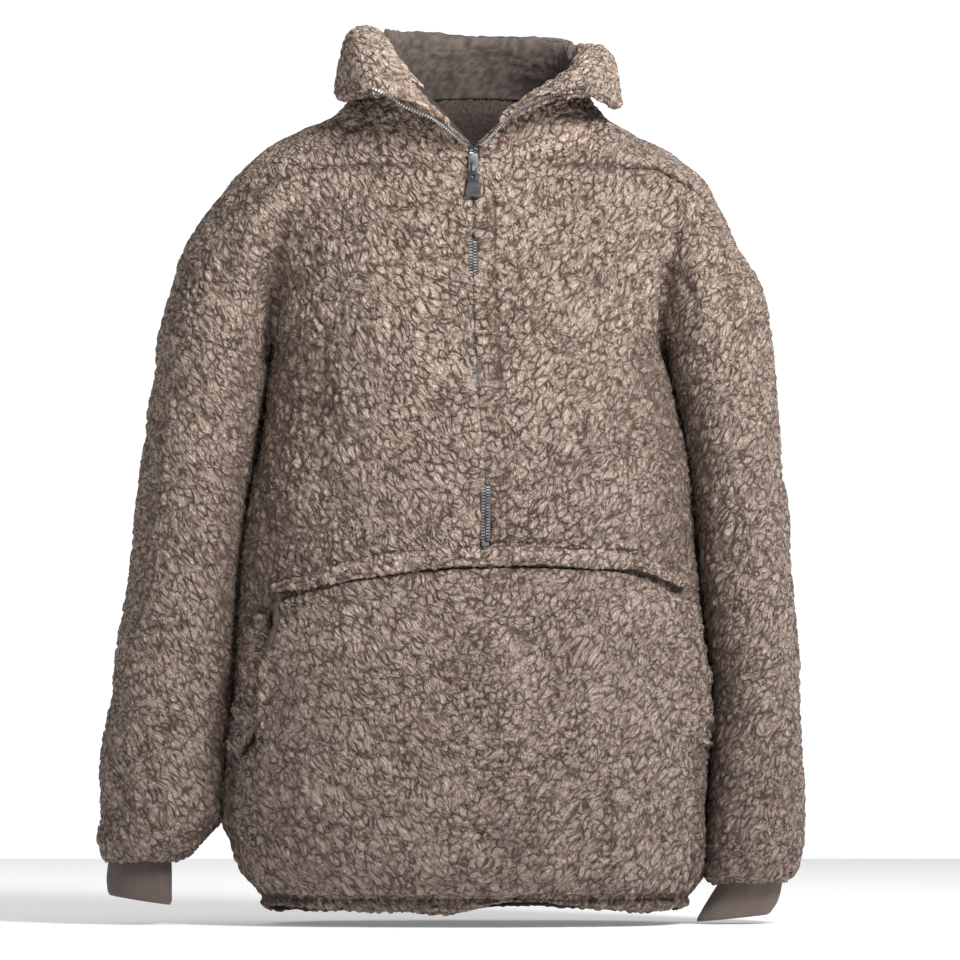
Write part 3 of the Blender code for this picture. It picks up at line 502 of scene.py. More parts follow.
STRETCHES = (
    ("torso", -1, FRONT_CELLS, FRONT_FINE, 0.0, 0.62),
    ("arm", -1, ARM_CELLS, ARM_FINE, 0.62, 1.0),
    ("arm", 1, ARM_CELLS, ARM_FINE, 1.0, 1.38),
    ("torso", 1, BACK_CELLS, BACK_FINE, 1.38, 2.0),
)


def armhole_height(kind, part):
    if kind == "torso":
        return np.full(part.shape, ARMPIT)
    return ARMPIT + (ARMHOLE_OUTER - ARMPIT) * np.sin(math.pi / 2 * part) ** 2


def yoke_height(kind, part):
    if kind == "torso":
        return (-36.0 - 4.0 * part) * MM
    return (-40.0 - 26.0 * np.minimum(1.0, part * ARM_CELLS / SEAM_CELL)) * MM


def stretch_heights(kind, part, place):
    """Heights up each column, coarse rows first, then divided finely."""
    armhole, neck = armhole_height(kind, part), neck_height(place)
    yoke = np.minimum(yoke_height(kind, part), neck - 4 * MM)
    shares = np.linspace
    coarse = [np.full(part.shape, z) for z in shares(HEM_TOP, ZIP_END, SKIRT_ROWS + 1)[:-1]]
    coarse += [np.full(part.shape, z) for z in shares(ZIP_END, ARMPIT, ZIP_ROWS + 1)[:-1]]
    coarse += [armhole + (yoke - armhole) * t for t in shares(0, 1, CHEST_ROWS + 1)[:-1]]
    coarse += [yoke + (neck - yoke) * t for t in shares(0, 1, YOKE_ROWS + 1)]
    coarse = np.array(coarse)
    counts = [SKIRT_FINE] * SKIRT_ROWS + [WAIST_FINE] * ZIP_ROWS
    counts += [CHEST_FINE] * CHEST_ROWS + [YOKE_FINE] * YOKE_ROWS
    lines = fine_lines(counts)
    fine = np.stack(
        [np.interp(np.arange(lines[-1] + 1), lines, coarse[:, c]) for c in range(len(part))]
    )
    return fine, lines


def panel_of(column, row):
    """The panel of a coarse cell, or none where the armhole is open."""
    kind, face, part = column
    if kind == "arm" and row < SKIRT_ROWS + ZIP_ROWS:
        return None
    if face > 0:
        return "back"
    if kind == "arm":
        in_yoke = part > SEAM_CELL + 0.5
    else:
        in_yoke = part > YOKE_START + 0.5
    in_top = row >= SKIRT_ROWS + ZIP_ROWS + CHEST_ROWS
    return "back" if in_yoke and (in_top or kind == "arm") or in_top and kind == "arm" else "front"


def hem_points(columns_points):
    """The hem casing swells below its seam and turns in at its lower edge."""
    down = 1 - np.linspace(0, 1, HEM_ROWS * HEM_FINE + 1)[None, :]
    x, y, z = (columns_points[..., axis] for axis in range(3))
    swell = 1 + 0.022 * np.sin(math.pi * down) - 0.012 * down
    drop = smooth(HEM_WAVE["across"], HEM_WAVE["drop"], x / MM) * MM * down
    drop = drop * (0.3 + 0.7 * np.clip(-y / (100 * MM), 0, 1))
    lift = smooth(HEM_LIFT["across"], HEM_LIFT["up"], x / MM) * MM * down * np.clip(
        0.4 - y / (100 * MM), 0, 1
    )
    return np.stack([x * swell, y * swell, z - drop + lift], axis=-1)


def sleeve_points(side, faces, parts, start):
    """Lines down a sleeve from its armhole seam to its end, from the end up."""
    end = SLEEVE["right" if side < 0 else "left"]["height"][0] * MM
    rows = np.linspace(0, SLEEVE_ROWS, SLEEVE_ROWS * SLEEVE_FINE + 1)
    turn = -faces * math.pi * (1 - parts)
    points = np.empty((len(parts), len(rows), 3))
    first = 1 - (1 - 1 / SLEEVE_ROWS) ** 1.35
    below = sleeve_point(side, turn, start[:, 2] + (end - start[:, 2]) * first)
    for i, row in enumerate(rows):
        if row < 1:
            points[:, i] = start + (below - start) * row
            continue
        down = 1 - (1 - row / SLEEVE_ROWS) ** 1.35
        points[:, i] = sleeve_point(side, turn, start[:, 2] + (end - start[:, 2]) * down)
    return points[:, ::-1]


def build_blocks():
    blocks, rings = [], {}
    for side in (-1, 1):
        name = "right" if side < 0 else "left"
        points, heights, coarse, cuts = [], [], [], [0]
        faces, parts, places = [], [], []
        for kind, face, count, fine, start, end in STRETCHES:
            line = np.linspace(0, 1, count * fine + 1)
            place = start + (end - start) * line
            part = line if face < 0 else 1 - line
            z, row_lines = stretch_heights(kind, part, place)
            maker = torso_point if kind == "torso" else arm_point
            grid = maker(side, face, part[:, None], z)
            keep = slice(0 if not points else 1, None)
            points.append(grid[keep])
            faces.append(np.full(len(part), face)[keep])
            parts.append((part if kind == "arm" else part * 0)[keep])
            places.append(place[keep])
            ends = np.linspace(0, 1, count + 1)[1:]
            coarse += [(kind, face, (p if face < 0 else 1 - p) * count) for p in ends]
            cuts += list(cuts[-1] + fine * np.arange(1, count + 1))
        grid = np.concatenate(points)
        faces, parts, places = (np.concatenate(values) for values in (faces, parts, places))
        columns = np.array(cuts)
        table = [
            [panel_of(coarse[i], j) for j in range(len(row_lines) - 1)] for i in range(len(coarse))
        ]
        blocks.append(Block(grid, columns, row_lines, table, side))
        first, last = FRONT_CELLS, FRONT_CELLS + 2 * ARM_CELLS
        for low, high, face in ((0, first, -1), (last, len(coarse), 1)):
            line = np.linspace(0, 1, (high - low) * (FRONT_FINE if face < 0 else BACK_FINE) + 1)
            q = line if face < 0 else 1 - line
            z = HEM_TOP + (HEM_BOTTOM - HEM_TOP) * (1 - np.linspace(0, 1, HEM_ROWS * HEM_FINE + 1))
            band = hem_points(torso_point(side, face, q[:, None], z[None, :]))
            lines = np.arange(high - low + 1) * (FRONT_FINE if face < 0 else BACK_FINE)
            table = [["hem_band"] * HEM_ROWS for _ in range(high - low)]
            blocks.append(Block(band, lines, np.arange(HEM_ROWS + 1) * HEM_FINE, table, side))
        armhole = row_lines[SKIRT_ROWS + ZIP_ROWS]
        a, b = columns[first], columns[last]
        arm = slice(a, b + 1)
        sleeve = sleeve_points(side, faces[arm].astype(float), parts[arm], grid[arm, armhole])
        lines = columns[first:last + 1] - a
        table = [["sleeve_" + name] * SLEEVE_ROWS for _ in range(2 * ARM_CELLS)]
        blocks.append(Block(sleeve, lines, np.arange(SLEEVE_ROWS + 1) * SLEEVE_FINE, table, side))
        rings[side] = (grid, places, band, row_lines)
    return blocks, rings


def middle_blocks(blocks, rings):
    """Strips that join the right and left fronts below the zip."""
    right, left = rings[-1][0][0], rings[1][0][0]
    rows = rings[1][3][SKIRT_ROWS] + 1
    steps = np.linspace(0, 1, 4)[:, None, None]
    strip = right[None, :rows] * (1 - steps) + left[None, :rows] * steps
    lines = rings[1][3][:SKIRT_ROWS + 1]
    blocks.append(Block(strip, np.array((0, 3)), lines, [["front"] * SKIRT_ROWS], 1))
    ends = [
        block.points[0] for block in blocks if block.panel[0][0] == "hem_band"
        and block.points[0, 0, 1] < -0.05
    ]
    hem = ends[0][None] * (1 - steps) + ends[1][None] * steps
    lines = np.arange(HEM_ROWS + 1) * HEM_FINE
    blocks.append(Block(hem, np.array((0, 3)), lines, [["hem_band"] * HEM_ROWS], 1))


def weld(blocks):
    """Gives every point of the blocks one number, and returns the points."""
    flat = np.concatenate([block.points.reshape(-1, 3) for block in blocks])
    keys = np.round(flat / (0.02 * MM)).astype(np.int64)
    code = (keys[:, 0] * 200003 + keys[:, 1]) * 200003 + keys[:, 2]
    _, first, number = np.unique(code, return_index=True, return_inverse=True)
    start = 0
    for block in blocks:
        count = block.points.shape[0] * block.points.shape[1]
        block.ids = number[start:start + count].reshape(block.points.shape[:2])
        start += count
    return flat[first]


def panel_quads(blocks):
    """Fine quads of each panel, and the coarse cells behind them."""
    quads, coarse = {}, {}
    for block in blocks:
        ids = block.ids
        loops = np.stack([ids[:-1, :-1], ids[1:, :-1], ids[1:, 1:], ids[:-1, 1:]], axis=2)
        if block.side < 0:
            loops = loops[..., ::-1]
        for i, column in enumerate(block.panel):
            for j, name in enumerate(column):
                if name is None:
                    continue
                c0, c1 = block.column_lines[i], block.column_lines[i + 1]
                r0, r1 = block.row_lines[j], block.row_lines[j + 1]
                quads.setdefault(name, []).append(loops[c0:c1, r0:r1].reshape(-1, 4))
                edges = [
                    ids[c0:c1 + 1, r0], ids[c1, r0:r1 + 1], ids[c0:c1 + 1, r1][::-1],
                    ids[c0, r0:r1 + 1][::-1]
                ]
                if block.side < 0:
                    edges = [edge[::-1] for edge in edges[::-1]]
                coarse.setdefault(name, []).append(edges)
    return {name: np.concatenate(parts) for name, parts in quads.items()}, coarse


def vertex_normals(points, quads):
    corners = points[quads]
    cross = np.cross(corners[:, 2] - corners[:, 0], corners[:, 3] - corners[:, 1])
    total = np.zeros_like(points)
    for corner in range(4):
        np.add.at(total, quads[:, corner], cross)
    return total / np.maximum(np.linalg.norm(total, axis=1), 1e-12)[:, None]


def open_edges(quads):
    """Edges that only one quad of a panel uses."""
    pairs = np.concatenate([quads[:, [i, (i + 1) % 4]] for i in range(4)])
    pairs = pairs[pairs[:, 0] != pairs[:, 1]]
    ordered = np.sort(pairs, axis=1)
    code = ordered[:, 0].astype(np.int64) * 10_000_000 + ordered[:, 1]
    _, first, counts = np.unique(code, return_index=True, return_counts=True)
    return pairs[first[counts == 1]], ordered[first]


def edge_distance(points, edge_points, edges, reach):
    """Distance along the cloth from a panel's edge, up to a reach."""
    away = np.full(len(points), reach)
    if len(edge_points) == 0:
        return away
    away[edge_points] = 0
    length = np.linalg.norm(points[edges[:, 0]] - points[edges[:, 1]], axis=1)
    for _ in range(14):
        np.minimum.at(away, edges[:, 0], away[edges[:, 1]] + length)
        np.minimum.at(away, edges[:, 1], away[edges[:, 0]] + length)
    return np.minimum(away, reach)


# Pieces


def mesh_object(name, points, faces, materials, slots=None, fields=None):
    mesh = bpy.data.meshes.new(name)
    mesh.from_pydata(points.tolist(), [], faces)
    for made in materials:
        mesh.materials.append(made)
    if slots is not None:
        mesh.polygons.foreach_set("material_index", np.asarray(slots, np.int32))
    for field, values in (fields or {}).items():
        values = np.asarray(values, np.float32)
        if values.ndim == 2:
            mesh.attributes.new(field, "FLOAT_VECTOR", "POINT").data.foreach_set(
                "vector", values.reshape(-1)
            )
        else:
            mesh.attributes.new(field, "FLOAT", "POINT").data.foreach_set("value", values)
    mesh.shade_smooth()
    obj = bpy.data.objects.new(name, mesh)
    bpy.context.scene.collection.objects.link(obj)
    return obj


def unit(vectors):
    return vectors / np.maximum(np.linalg.norm(vectors, axis=-1), 1e-12)[..., None]


def falling(normals):
    """The way along the cloth that hangs down most."""
    down = np.zeros_like(normals)
    down[:, 2] = -1
    return down - normals * (normals @ np.array((0.0, 0.0, -1.0)))[:, None]


def nearest_strength(surface, rim, strength, away, reach):
    """How strongly the nearest seam draws each place in."""
    tree = kdtree.KDTree(len(rim))
    for number, vertex in enumerate(rim):
        tree.insert(surface[vertex], number)
    tree.balance()
    found = np.ones(len(surface))
    for place in np.nonzero(away < reach)[0]:
        found[place] = strength[rim[tree.find(surface[place])[1]]]
    return found


def dress(
    name, points, normals, inner, quads, coarse, look, materials, strength=None, dim=None,
    sunk=None, reach=SEAM_REACH, seam=SEAM_DEPTH
):
    """A panel of pile cloth: fine and displaced outside, coarse inside, closed at its edges."""
    used, local = np.unique(quads, return_inverse=True)
    loops = local.reshape(quads.shape)
    surface, normal = points[used], normals[used]
    rim, edges = open_edges(loops)
    rim_points = np.unique(rim)
    away = edge_distance(surface, rim_points, edges, 2.5 * reach)
    pull = np.ones(len(used))
    if strength is not None:
        pull = nearest_strength(surface, rim_points, strength[used], away, 2.5 * reach)
    closed = (1 - soft_step(away, 0, reach)) * np.minimum(1, pull)
    open_part = 1 - closed
    height, tone, lies = pile(surface)
    depth = PILE_DEPTH * (1 - height) * (0.4 + 0.6 * open_part) - PILE_STAND * open_part
    depth += seam * closed * np.maximum(1, pull) * (0.6 + 0.4 * (1 - height))
    depth -= SEAM_LIP * np.clip(pull - 0.5, 0, 1) * np.exp(
        -(((away - 1.2 * reach) / (0.6 * reach)) ** 2)
    )
    room = FLEECE - 0.8 * MM
    depth = np.minimum(depth, room if sunk is None else np.maximum(room - sunk[used], 0))
    outer = surface - normal * depth[:, None] + falling(normal) * (PILE_FALL * height * open_part)[
        :, None
    ]
    # Painted shade: this pile field darkens the colour in the crevices, at the closed seams and edges, beside the
    # pressed stitches and where dim is high.
    shade = height * (0.4 + 0.6 * open_part)
    if dim is not None:
        shade = shade * (1 - dim[used])
    faces = [tuple(dict.fromkeys(loop)) for loop in loops.tolist()]
    faces = [face for face in faces if len(face) > 2]
    slots = [0] * len(faces)
    place = {int(vertex): i for i, vertex in enumerate(used)}
    on_rim = {(int(a), int(b)) for a, b in rim}
    within, extra = {}, []

    def inside(vertex):
        if vertex not in within:
            within[vertex] = len(used) + len(extra)
            extra.append(inner[vertex])
        return within[vertex]

    for cell in coarse:
        loop = []
        for edge in cell:
            first, second = place[int(edge[0])], place[int(edge[1])]
            whole = (first, second) in on_rim or (second, first) in on_rim
            loop += [int(vertex) for vertex in (edge[:-1] if whole else edge[:1])]
        loop = list(dict.fromkeys(loop))
        if len(loop) > 2:
            faces.append(tuple(inside(vertex) for vertex in reversed(loop)))
            slots.append(1)
    for a, b in rim.tolist():
        faces.append((b, a, inside(int(used[a])), inside(int(used[b]))))
        slots.append(0)
    count = len(extra)
    fields = {
        "pile": np.concatenate([shade, np.full(count, 0.4)]),
        "tone": np.concatenate([tone, np.full(count, 0.5)]),
        "lie": np.concatenate([lies, np.array(extra)]),
    }
    everything = np.concatenate([outer, np.array(extra)])
    obj = mesh_object(look, everything, faces, materials, slots, fields)
    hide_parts(name)
    return obj


def covered(z):
    """1 where the pile closes over the zip: not at its foot, just below the pull or at the top."""
    shut = sum(sign * soft_step(z / MM, low, high) for low, high, sign in ZIP_COVER)
    return np.clip(shut, 0, 1) * (1 - soft_step(z / MM, *ZIP_BARE))


def shift_slit(points):
    x, y, z = points.T
    near = np.abs(x - zip_across(z))
    part = 1 - soft_step(near, 4.5 * MM, 16 * MM)
    part *= (y < -0.05) * (z < NECK_FRONT) * (z > ZIP_END - 2 * MM)
    closes = (0.8 + 4.05 * covered(z)) * MM
    points[:, 0] += np.sign(zip_across(z) - x) * closes * part


def soften(points, normals):
    """Slow swells and limp folds, and the fullness where the sleeves press on the body.

    Returns the new places, how much each is shaded by its neighbours and how far it is sunk.
    """
    x, y, z = points.T
    side = np.sign(x)
    swell = 2.6 * MM * drift(points, 70 * MM, 3) + 2.2 * MM * drift(points, 34 * MM, 5) - 0.6 * MM
    swell *= 1 - 0.8 * soft_step(z, -60 * MM, 0) * (np.abs(x) < 0.13)
    limp = fold_out(LIMP_FOLDS, x, z) * soft_step(-normals[:, 1], 0.05, 0.5)
    swell += 2.4 * MM * drift(points * np.array((1, 1, 2.2)), 120 * MM, 17) * soft_step(
        np.abs(x), 0.2, 0.26
    )
    swell = np.maximum(swell + limp, -4.4 * MM)
    # The body's sides and the sleeves' inner sides fill the gap between them
    beside = soft_step(-z, 0.20, 0.235) * (
        1 - soft_step(-z, np.where(x < 0, 0.65, 0.71), np.where(x < 0, 0.69, 0.75))
    )
    flank = beside * (1 - soft_step(np.abs(y), 0.05, 0.09)) * soft_step(
        np.abs(normals[:, 0]), 0.45, 0.8
    )
    inner_side = (side * normals[:, 0] < 0) | (np.abs(x) < read_side(side, z) + 12 * MM)
    fuller = 4.6 + 3.4 * (x > 0) * soft_step(-z, 0.38, 0.44) + 1.6 * (x < 0) * soft_step(
        -z, 0.36, 0.42
    )
    fuller += 2.4 * (x < 0) * soft_step(-z, 0.54, 0.58)
    swell += fuller * MM * flank * inner_side
    # Painted shade: dim darkens the colour beside the sleeves under the arms and in the troughs of the limp folds.
    beneath = soft_step(-z, 0.15, 0.24) * inner_side
    dim = beneath * soft_step(np.abs(normals[:, 0]), 0.4, 0.9) * 0.7
    dim = np.maximum(dim, 0.6 * np.clip(-limp / (4 * MM), 0, 1))
    return points + normals * swell[:, None], dim, np.maximum(-swell, 0)


def inside_places(points, normals):
    """The inner face, which lies deeper beside the armholes so that it stays behind the creases."""
    x, y, z = points.T
    inner = points - normals * (FLEECE + 0.2 * MM)
    beside = soft_step(np.abs(x), 0.15, 0.18) * (1 - soft_step(np.abs(x), 0.20, 0.23)) * (y < 0)
    inner[:, 1] += 9 * MM * beside * soft_step(-z, 0.04, 0.08) * (1 - soft_step(-z, 0.22, 0.27))
    return inner


def read_side(side, z):
    """How far the body's side is from the middle."""
    return np.where(side < 0, -read(TORSO, "right", z), read(TORSO, "left", z))


SEAM_GAP = 0.45 * MM
SIDE_EASE = 1.5 * MM
BAND_EASE = 0.4 * MM
EDGE_EASE = -0.4 * MM
BAND_HALF = 9.5 * MM
EDGE_HALF = 12.5 * MM
BAND_RISE = 9.0 * MM
EDGE_RISE = 8.0 * MM
POCKET_BOTTOM = -732.0 * MM
POCKET_CLOTH = 5.0 * MM
POCKET_HOLLOW = 10.0 * MM
POCKET_GAPE = 16.0 * MM
POCKET_REACH = 0.93
POCKET_FIXED = 4
POCKET_SPREAD = 2
POCKET_FINE = 14 // COARSE


def front_skin(side, q, z, out):
    """Points of the front, moved out along its normal, a little more near the sides."""
    step = 0.02
    ahead, behind = torso_point(side, -1, np.minimum(1, q + step), z), torso_point(
        side, -1, np.maximum(0, q - step), z
    )
    up = torso_point(side, -1, q, z + 4 * MM) - torso_point(side, -1, q, z - 4 * MM)
    normal = unit(np.cross((ahead - behind) * side, up))
    return torso_point(side, -1, q, z) + normal * (SEAM_GAP + SIDE_EASE * q ** 3 + out)[..., None]


def front_share(side, x, z):
    middle = zip_across(z) + side * ZIP_SLIT / 2
    width = read(TORSO, "right" if side < 0 else "left", z) - middle
    across = np.clip((x - middle) / width, 0, 0.99)
    return 1 - np.arccos(across ** (SQUARE_FRONT / 2)) / (math.pi / 2)


def on_front(x, z, out):
    sides = [front_skin(side, front_share(side, x, z), z, out) for side in (-1, 1)]
    return np.where((x < zip_across(z))[..., None], sides[0], sides[1])


def pocket_line(x):
    """Height of the middle of the pocket's padded top edge."""
    return smooth(POCKET_TOP["across"], POCKET_TOP["height"], x / MM) * MM


def pocket_top(side, q):
    z = np.full(q.shape, POCKET_BOTTOM * 0.6)
    for _ in range(4):
        x = torso_point(side, -1, q, z)[..., 0]
        z = pocket_line(x) - (BAND_HALF + SEAM_GAP) * np.hypot(
            1, (pocket_line(x + MM) - pocket_line(x)) / MM
        )
    return z


def pocket_side(side):
    """Points of one side of the pocket, from the middle out, and their places up it."""
    rows = np.linspace(HEM_TOP, ZIP_END, SKIRT_ROWS + 1)[1:-2]
    count = len(rows) + 1
    up = np.linspace(0, count, count * POCKET_FINE + 1)[None, :]
    number = (
        np.linspace(0, POCKET_FIXED + POCKET_SPREAD, (POCKET_FIXED + POCKET_SPREAD) * POCKET_FINE + 1)[:, None]
    )
    level = np.interp(up, np.arange(count + 1), np.concatenate([[POCKET_BOTTOM], rows, rows[-1:]]))
    edge = read(POCKET, "right" if side < 0 else "left", level)
    seam = read(TORSO, "right" if side < 0 else "left", level) * POCKET_REACH
    edge = front_share(side, side * np.minimum(side * edge, side * seam), level)
    fixed = POCKET_FIXED / FRONT_CELLS
    spread = (number - POCKET_FIXED) / POCKET_SPREAD
    q = np.where(number <= POCKET_FIXED, number / FRONT_CELLS, fixed + (edge - fixed) * spread)
    level = level + (pocket_top(side, q) - rows[-1]) * np.clip(up - count + 1, 0, 1)
    rise = up / count
    x = torso_point(side, -1, q, level)[..., 0]
    hand = np.sin(math.pi * np.clip((rise - 0.42) / 0.55, 0, 1))
    near_edge = np.clip(spread, 0, 1) ** 1.5
    bulge = np.sin(math.pi * rise) ** 0.7
    hollow = POCKET_HOLLOW * bulge * (1 - near_edge) + POCKET_GAPE * hand * near_edge
    hollow = hollow + fold_out(POCKET_FOLDS, x, level) * bulge * (1 - near_edge)
    return front_skin(side, q, level, hollow + POCKET_CLOTH), front_skin(side, q, level, hollow)


def make_pocket(materials):
    (right, right_in), (left, left_in) = pocket_side(-1), pocket_side(1)
    steps = np.linspace(0, 1, 4)[1:-1, None, None]
    outer = np.concatenate([right[::-1], right[:1] * (1 - steps) + left[:1] * steps, left])
    inner = np.concatenate(
        [right_in[::-1], right_in[:1] * (1 - steps) + left_in[:1] * steps, left_in]
    )
    half = (POCKET_FIXED + POCKET_SPREAD) * POCKET_FINE
    line = np.arange(POCKET_FIXED + POCKET_SPREAD + 1) * POCKET_FINE
    lines = np.concatenate([line, line + half + 3])
    rows = np.arange((outer.shape[1] - 1) // POCKET_FINE + 1) * POCKET_FINE
    return dress_grid(
        "pocket", "pocket_panel", outer, inner, lines, rows, materials, SEAM_REACH, 2.6 * MM
    )


def dress_grid(name, look, outer, inner, column_lines, row_lines, materials, reach, seam):
    """Dresses a grid of points that is a piece of its own."""
    table = [[name] * (len(row_lines) - 1) for _ in range(len(column_lines) - 1)]
    block = Block(outer, column_lines, row_lines, table, 1)
    points = weld([block])
    quads, coarse = panel_quads([block])
    normals = vertex_normals(points, quads[name])
    within = np.zeros_like(points)
    within[block.ids.reshape(-1)] = inner.reshape(-1, 3)
    points = points + normals * (2.0 * MM * drift(points, 30 * MM, 9))[:, None]
    return dress(
        name, points, normals, within, quads[name], coarse[name], look, materials, reach=reach,
        seam=seam
    )


def band_grid(route, half_width, height, ease):
    """A rounded, padded strip that lies on the front along rows of (across, height)."""
    xs, zs = np.array(route, float).T
    marks = np.arange(len(route))
    t = np.linspace(0, len(route) - 1, 180 // COARSE + 1)
    here = np.stack([smooth(marks, xs, t), smooth(marks, zs, t)], axis=1) * MM
    along = unit(np.gradient(here, axis=0))
    aside = np.stack([-along[:, 1], along[:, 0]], axis=1)
    part = t / t[-1]
    taper = np.minimum(1.0, 0.45 + 3 * np.minimum(part, 1 - part))
    u = np.linspace(1, -1, 19)[None, :]
    # The roll wanders a little and its thickness varies
    sway = 1.15 + 0.2 * np.sin(part * 23) + 0.14 * np.sin(part * 51 + 1)
    across = (here[:, None, :] + aside[:, None, :] * (half_width * u * taper[:, None])[..., None])
    rise = height * taper[:, None] * sway[:, None] * np.sqrt(1 - u * u * 0.9)
    x, z = across[..., 0], across[..., 1]
    return on_front(x, z, ease + rise), on_front(x, z, ease + 0 * rise)


def make_band(name, look, route, half_width, height, ease, materials):
    # Columns follow the strip and rows run across it
    outer, inner = (grid[:, ::-1] for grid in band_grid(route, half_width, height, ease))
    columns = np.arange(0, outer.shape[0], 20 // COARSE)
    rows = np.arange(0, outer.shape[1], 6)
    return dress_grid(name, look, outer, inner, columns, rows, materials, 2.5 * MM, 1.0 * MM)


# Collar


def picked(values, index):
    """Each place's value from the layer that its index names."""
    return np.take_along_axis(values, index[None], axis=0)[0]


def collar_section(table_share, rise, seam):
    """Points of the collar's outer side: the rise is 0 at the neck seam and 1 at the free edge."""
    out = np.empty((*rise.shape, 3))
    for axis, letter in enumerate("xyz"):
        guides = [seam[..., axis] / MM]
        guides += [
            smooth(COLLAR["share"], COLLAR[g + "_" + letter], table_share)
            for g in ("roll", "turn", "edge")
        ]
        slopes = [
            guides[1] - guides[0], (guides[2] - guides[0]) / 2, (guides[3] - guides[1]) / 2,
            guides[3] - guides[2]
        ]
        at = np.clip(rise * 3, 0, 3)
        low = np.minimum(at.astype(int), 2)
        t = at - low
        stack, slope = np.stack(guides), np.stack(slopes)
        g0, g1 = picked(stack, low), picked(stack, low + 1)
        s0, s1 = picked(slope, low), picked(slope, low + 1)
        ease = t * t * (3 - 2 * t)
        out[..., axis] = (
            (g0 * (1 - ease) + g1 * ease + t * (1 - t) ** 2 * s0 + t * t * (t - 1) * s1) * MM
        )
    return out


def neck_seam(rings, places):
    """The neck seam all round, from the right front edge to the left one."""
    known, points = [], []
    for side in (-1, 1):
        grid, place = rings[side][0], rings[side][1]
        order = slice(None) if side < 0 else slice(None, None, -1)
        known.append((place / 4 if side < 0 else 1 - place / 4)[order])
        points.append(grid[order, -1])
    known, points = np.concatenate(known), np.concatenate(points)
    return np.stack([np.interp(places, known, points[:, axis]) for axis in range(3)], axis=-1)


def collar_grid(rings, columns, rows):
    """Places of the collar. Its normals start out as the body's own at the neck seam."""
    place = np.linspace(0, 1, columns)[:, None] + np.zeros((1, rows))
    rise = np.linspace(0, 1, rows)[None, :] + np.zeros((columns, 1))
    grid = collar_section(place, rise, neck_seam(rings, place))
    normals = unit(np.cross(np.gradient(grid, axis=1), np.gradient(grid, axis=0)))
    known, ways = rings["neck"]
    body = np.stack([np.interp(place, known, ways[:, axis]) for axis in range(3)], axis=-1)
    own = soft_step(rise, 0.0, 0.16)[..., None]
    return place, rise, grid, unit(body * (1 - own) + normals * own)


def lining_rows(place):
    return np.clip(smooth(LINING_EDGE["share"], LINING_EDGE["rows"], place), 0, 8)


def grid_faces(columns, rows, start=0, flip=False):
    index = start + np.arange(columns * rows).reshape(columns, rows)
    loops = (
        np.stack([index[:-1, :-1], index[1:, :-1], index[1:, 1:], index[:-1, 1:]], axis=2).reshape(-1, 4)
    )
    return (loops[:, ::-1] if flip else loops).tolist()


def rim_walls(columns, rows, flip=False):
    """Faces that join the edges of two grids of one size, the second numbered after the first."""
    count = columns * rows
    index = np.arange(count).reshape(columns, rows)
    sides = [index[:-1, 0], index[-1, :-1], index[1:, -1][::-1], index[0, 1:][::-1]]
    ring = np.concatenate(sides)
    pairs = zip(ring.tolist(), np.roll(ring, -1).tolist())
    if flip:
        return [(b, a, a + count, b + count) for a, b in pairs]
    return [(a, b, b + count, a + count) for a, b in pairs]


def make_collar(rings, materials):
    """Pile on both sides: the collar turns out, so its inner side shows as the two flaps."""
    columns, rows = 300 // COARSE, 66 // COARSE
    place, rise, grid, normals = collar_grid(rings, columns, rows)
    flat, normal = grid.reshape(-1, 3), normals.reshape(-1, 3)
    lengths = np.linalg.norm(np.diff(grid, axis=1), axis=2).mean()
    step = np.minimum.reduce([
        np.arange(columns)[:, None] * 2.6 + 0 * rise, (columns - 1 - np.arange(columns))[:, None] * 2.6 + 0 * rise,
        (rows - 1 - np.arange(rows))[None, :] * lengths / MM + 0 * rise,
    ]).reshape(-1)
    open_part = soft_step(step, 0, 5)
    height, tone, lies = pile(flat)
    depth = (
        PILE_DEPTH * (1 - height) * (0.4 + 0.6 * open_part) - PILE_STAND * open_part + 0.8 * MM
        * (1 - open_part)
    )
    neck = (1 - soft_step(rise, 0, 0.14)).reshape(-1)
    depth += 0.12 * neck * (
        PILE_STAND + SEAM_DEPTH * (0.6 + 0.4 * (1 - height)) - 0.6 * PILE_DEPTH * (1 - height)
    )
    outer = flat - normal * depth[:, None] + falling(normal) * (PILE_FALL * height * open_part)[
        :, None
    ]
    back = flat - normal * FLEECE
    back_height, back_tone, back_lies = pile(back, seed=71)
    bare = 1 - soft_step(rise * 8 - lining_rows(place), 0.0, 1.2).reshape(-1)
    stand = (4.2 * MM * back_height - 0.6 * MM) * open_part * (1 - bare)
    inner = (
        back - normal * stand[:, None] + falling(-normal)
        * (PILE_FALL * back_height * open_part * (1 - bare))[:, None]
    )
    faces = grid_faces(columns, rows, flip=True) + grid_faces(columns, rows, start=len(flat))
    # A plain facing runs up the inside beside each row of teeth
    facing = ((place < 0.10) & (rise < 0.5)) | ((place > 0.95) & (rise < 0.5))
    slots = np.concatenate([np.zeros((columns - 1) * (rows - 1)), facing[:-1, :-1].reshape(-1)])
    slots = np.concatenate([slots, np.zeros(2 * (columns + rows) - 4)])
    flat_part = facing.reshape(-1)
    inner[flat_part] = back[flat_part]
    faces += rim_walls(columns, rows)
    # Painted shade: the pile field darkens the colour in the crevices and near the collar's edges.
    fields = {
        "pile": np.concatenate(
            [height * (0.5 + 0.5 * open_part), back_height * (0.6 + 0.4 * open_part)]
        ),
        "tone": np.concatenate([tone, back_tone]),
        "lie": np.concatenate([lies, back_lies]),
    }
    obj = mesh_object(
        "stand_collar", np.concatenate([outer, inner]), faces, materials, slots, fields
    )
    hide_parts("collar")
    return obj


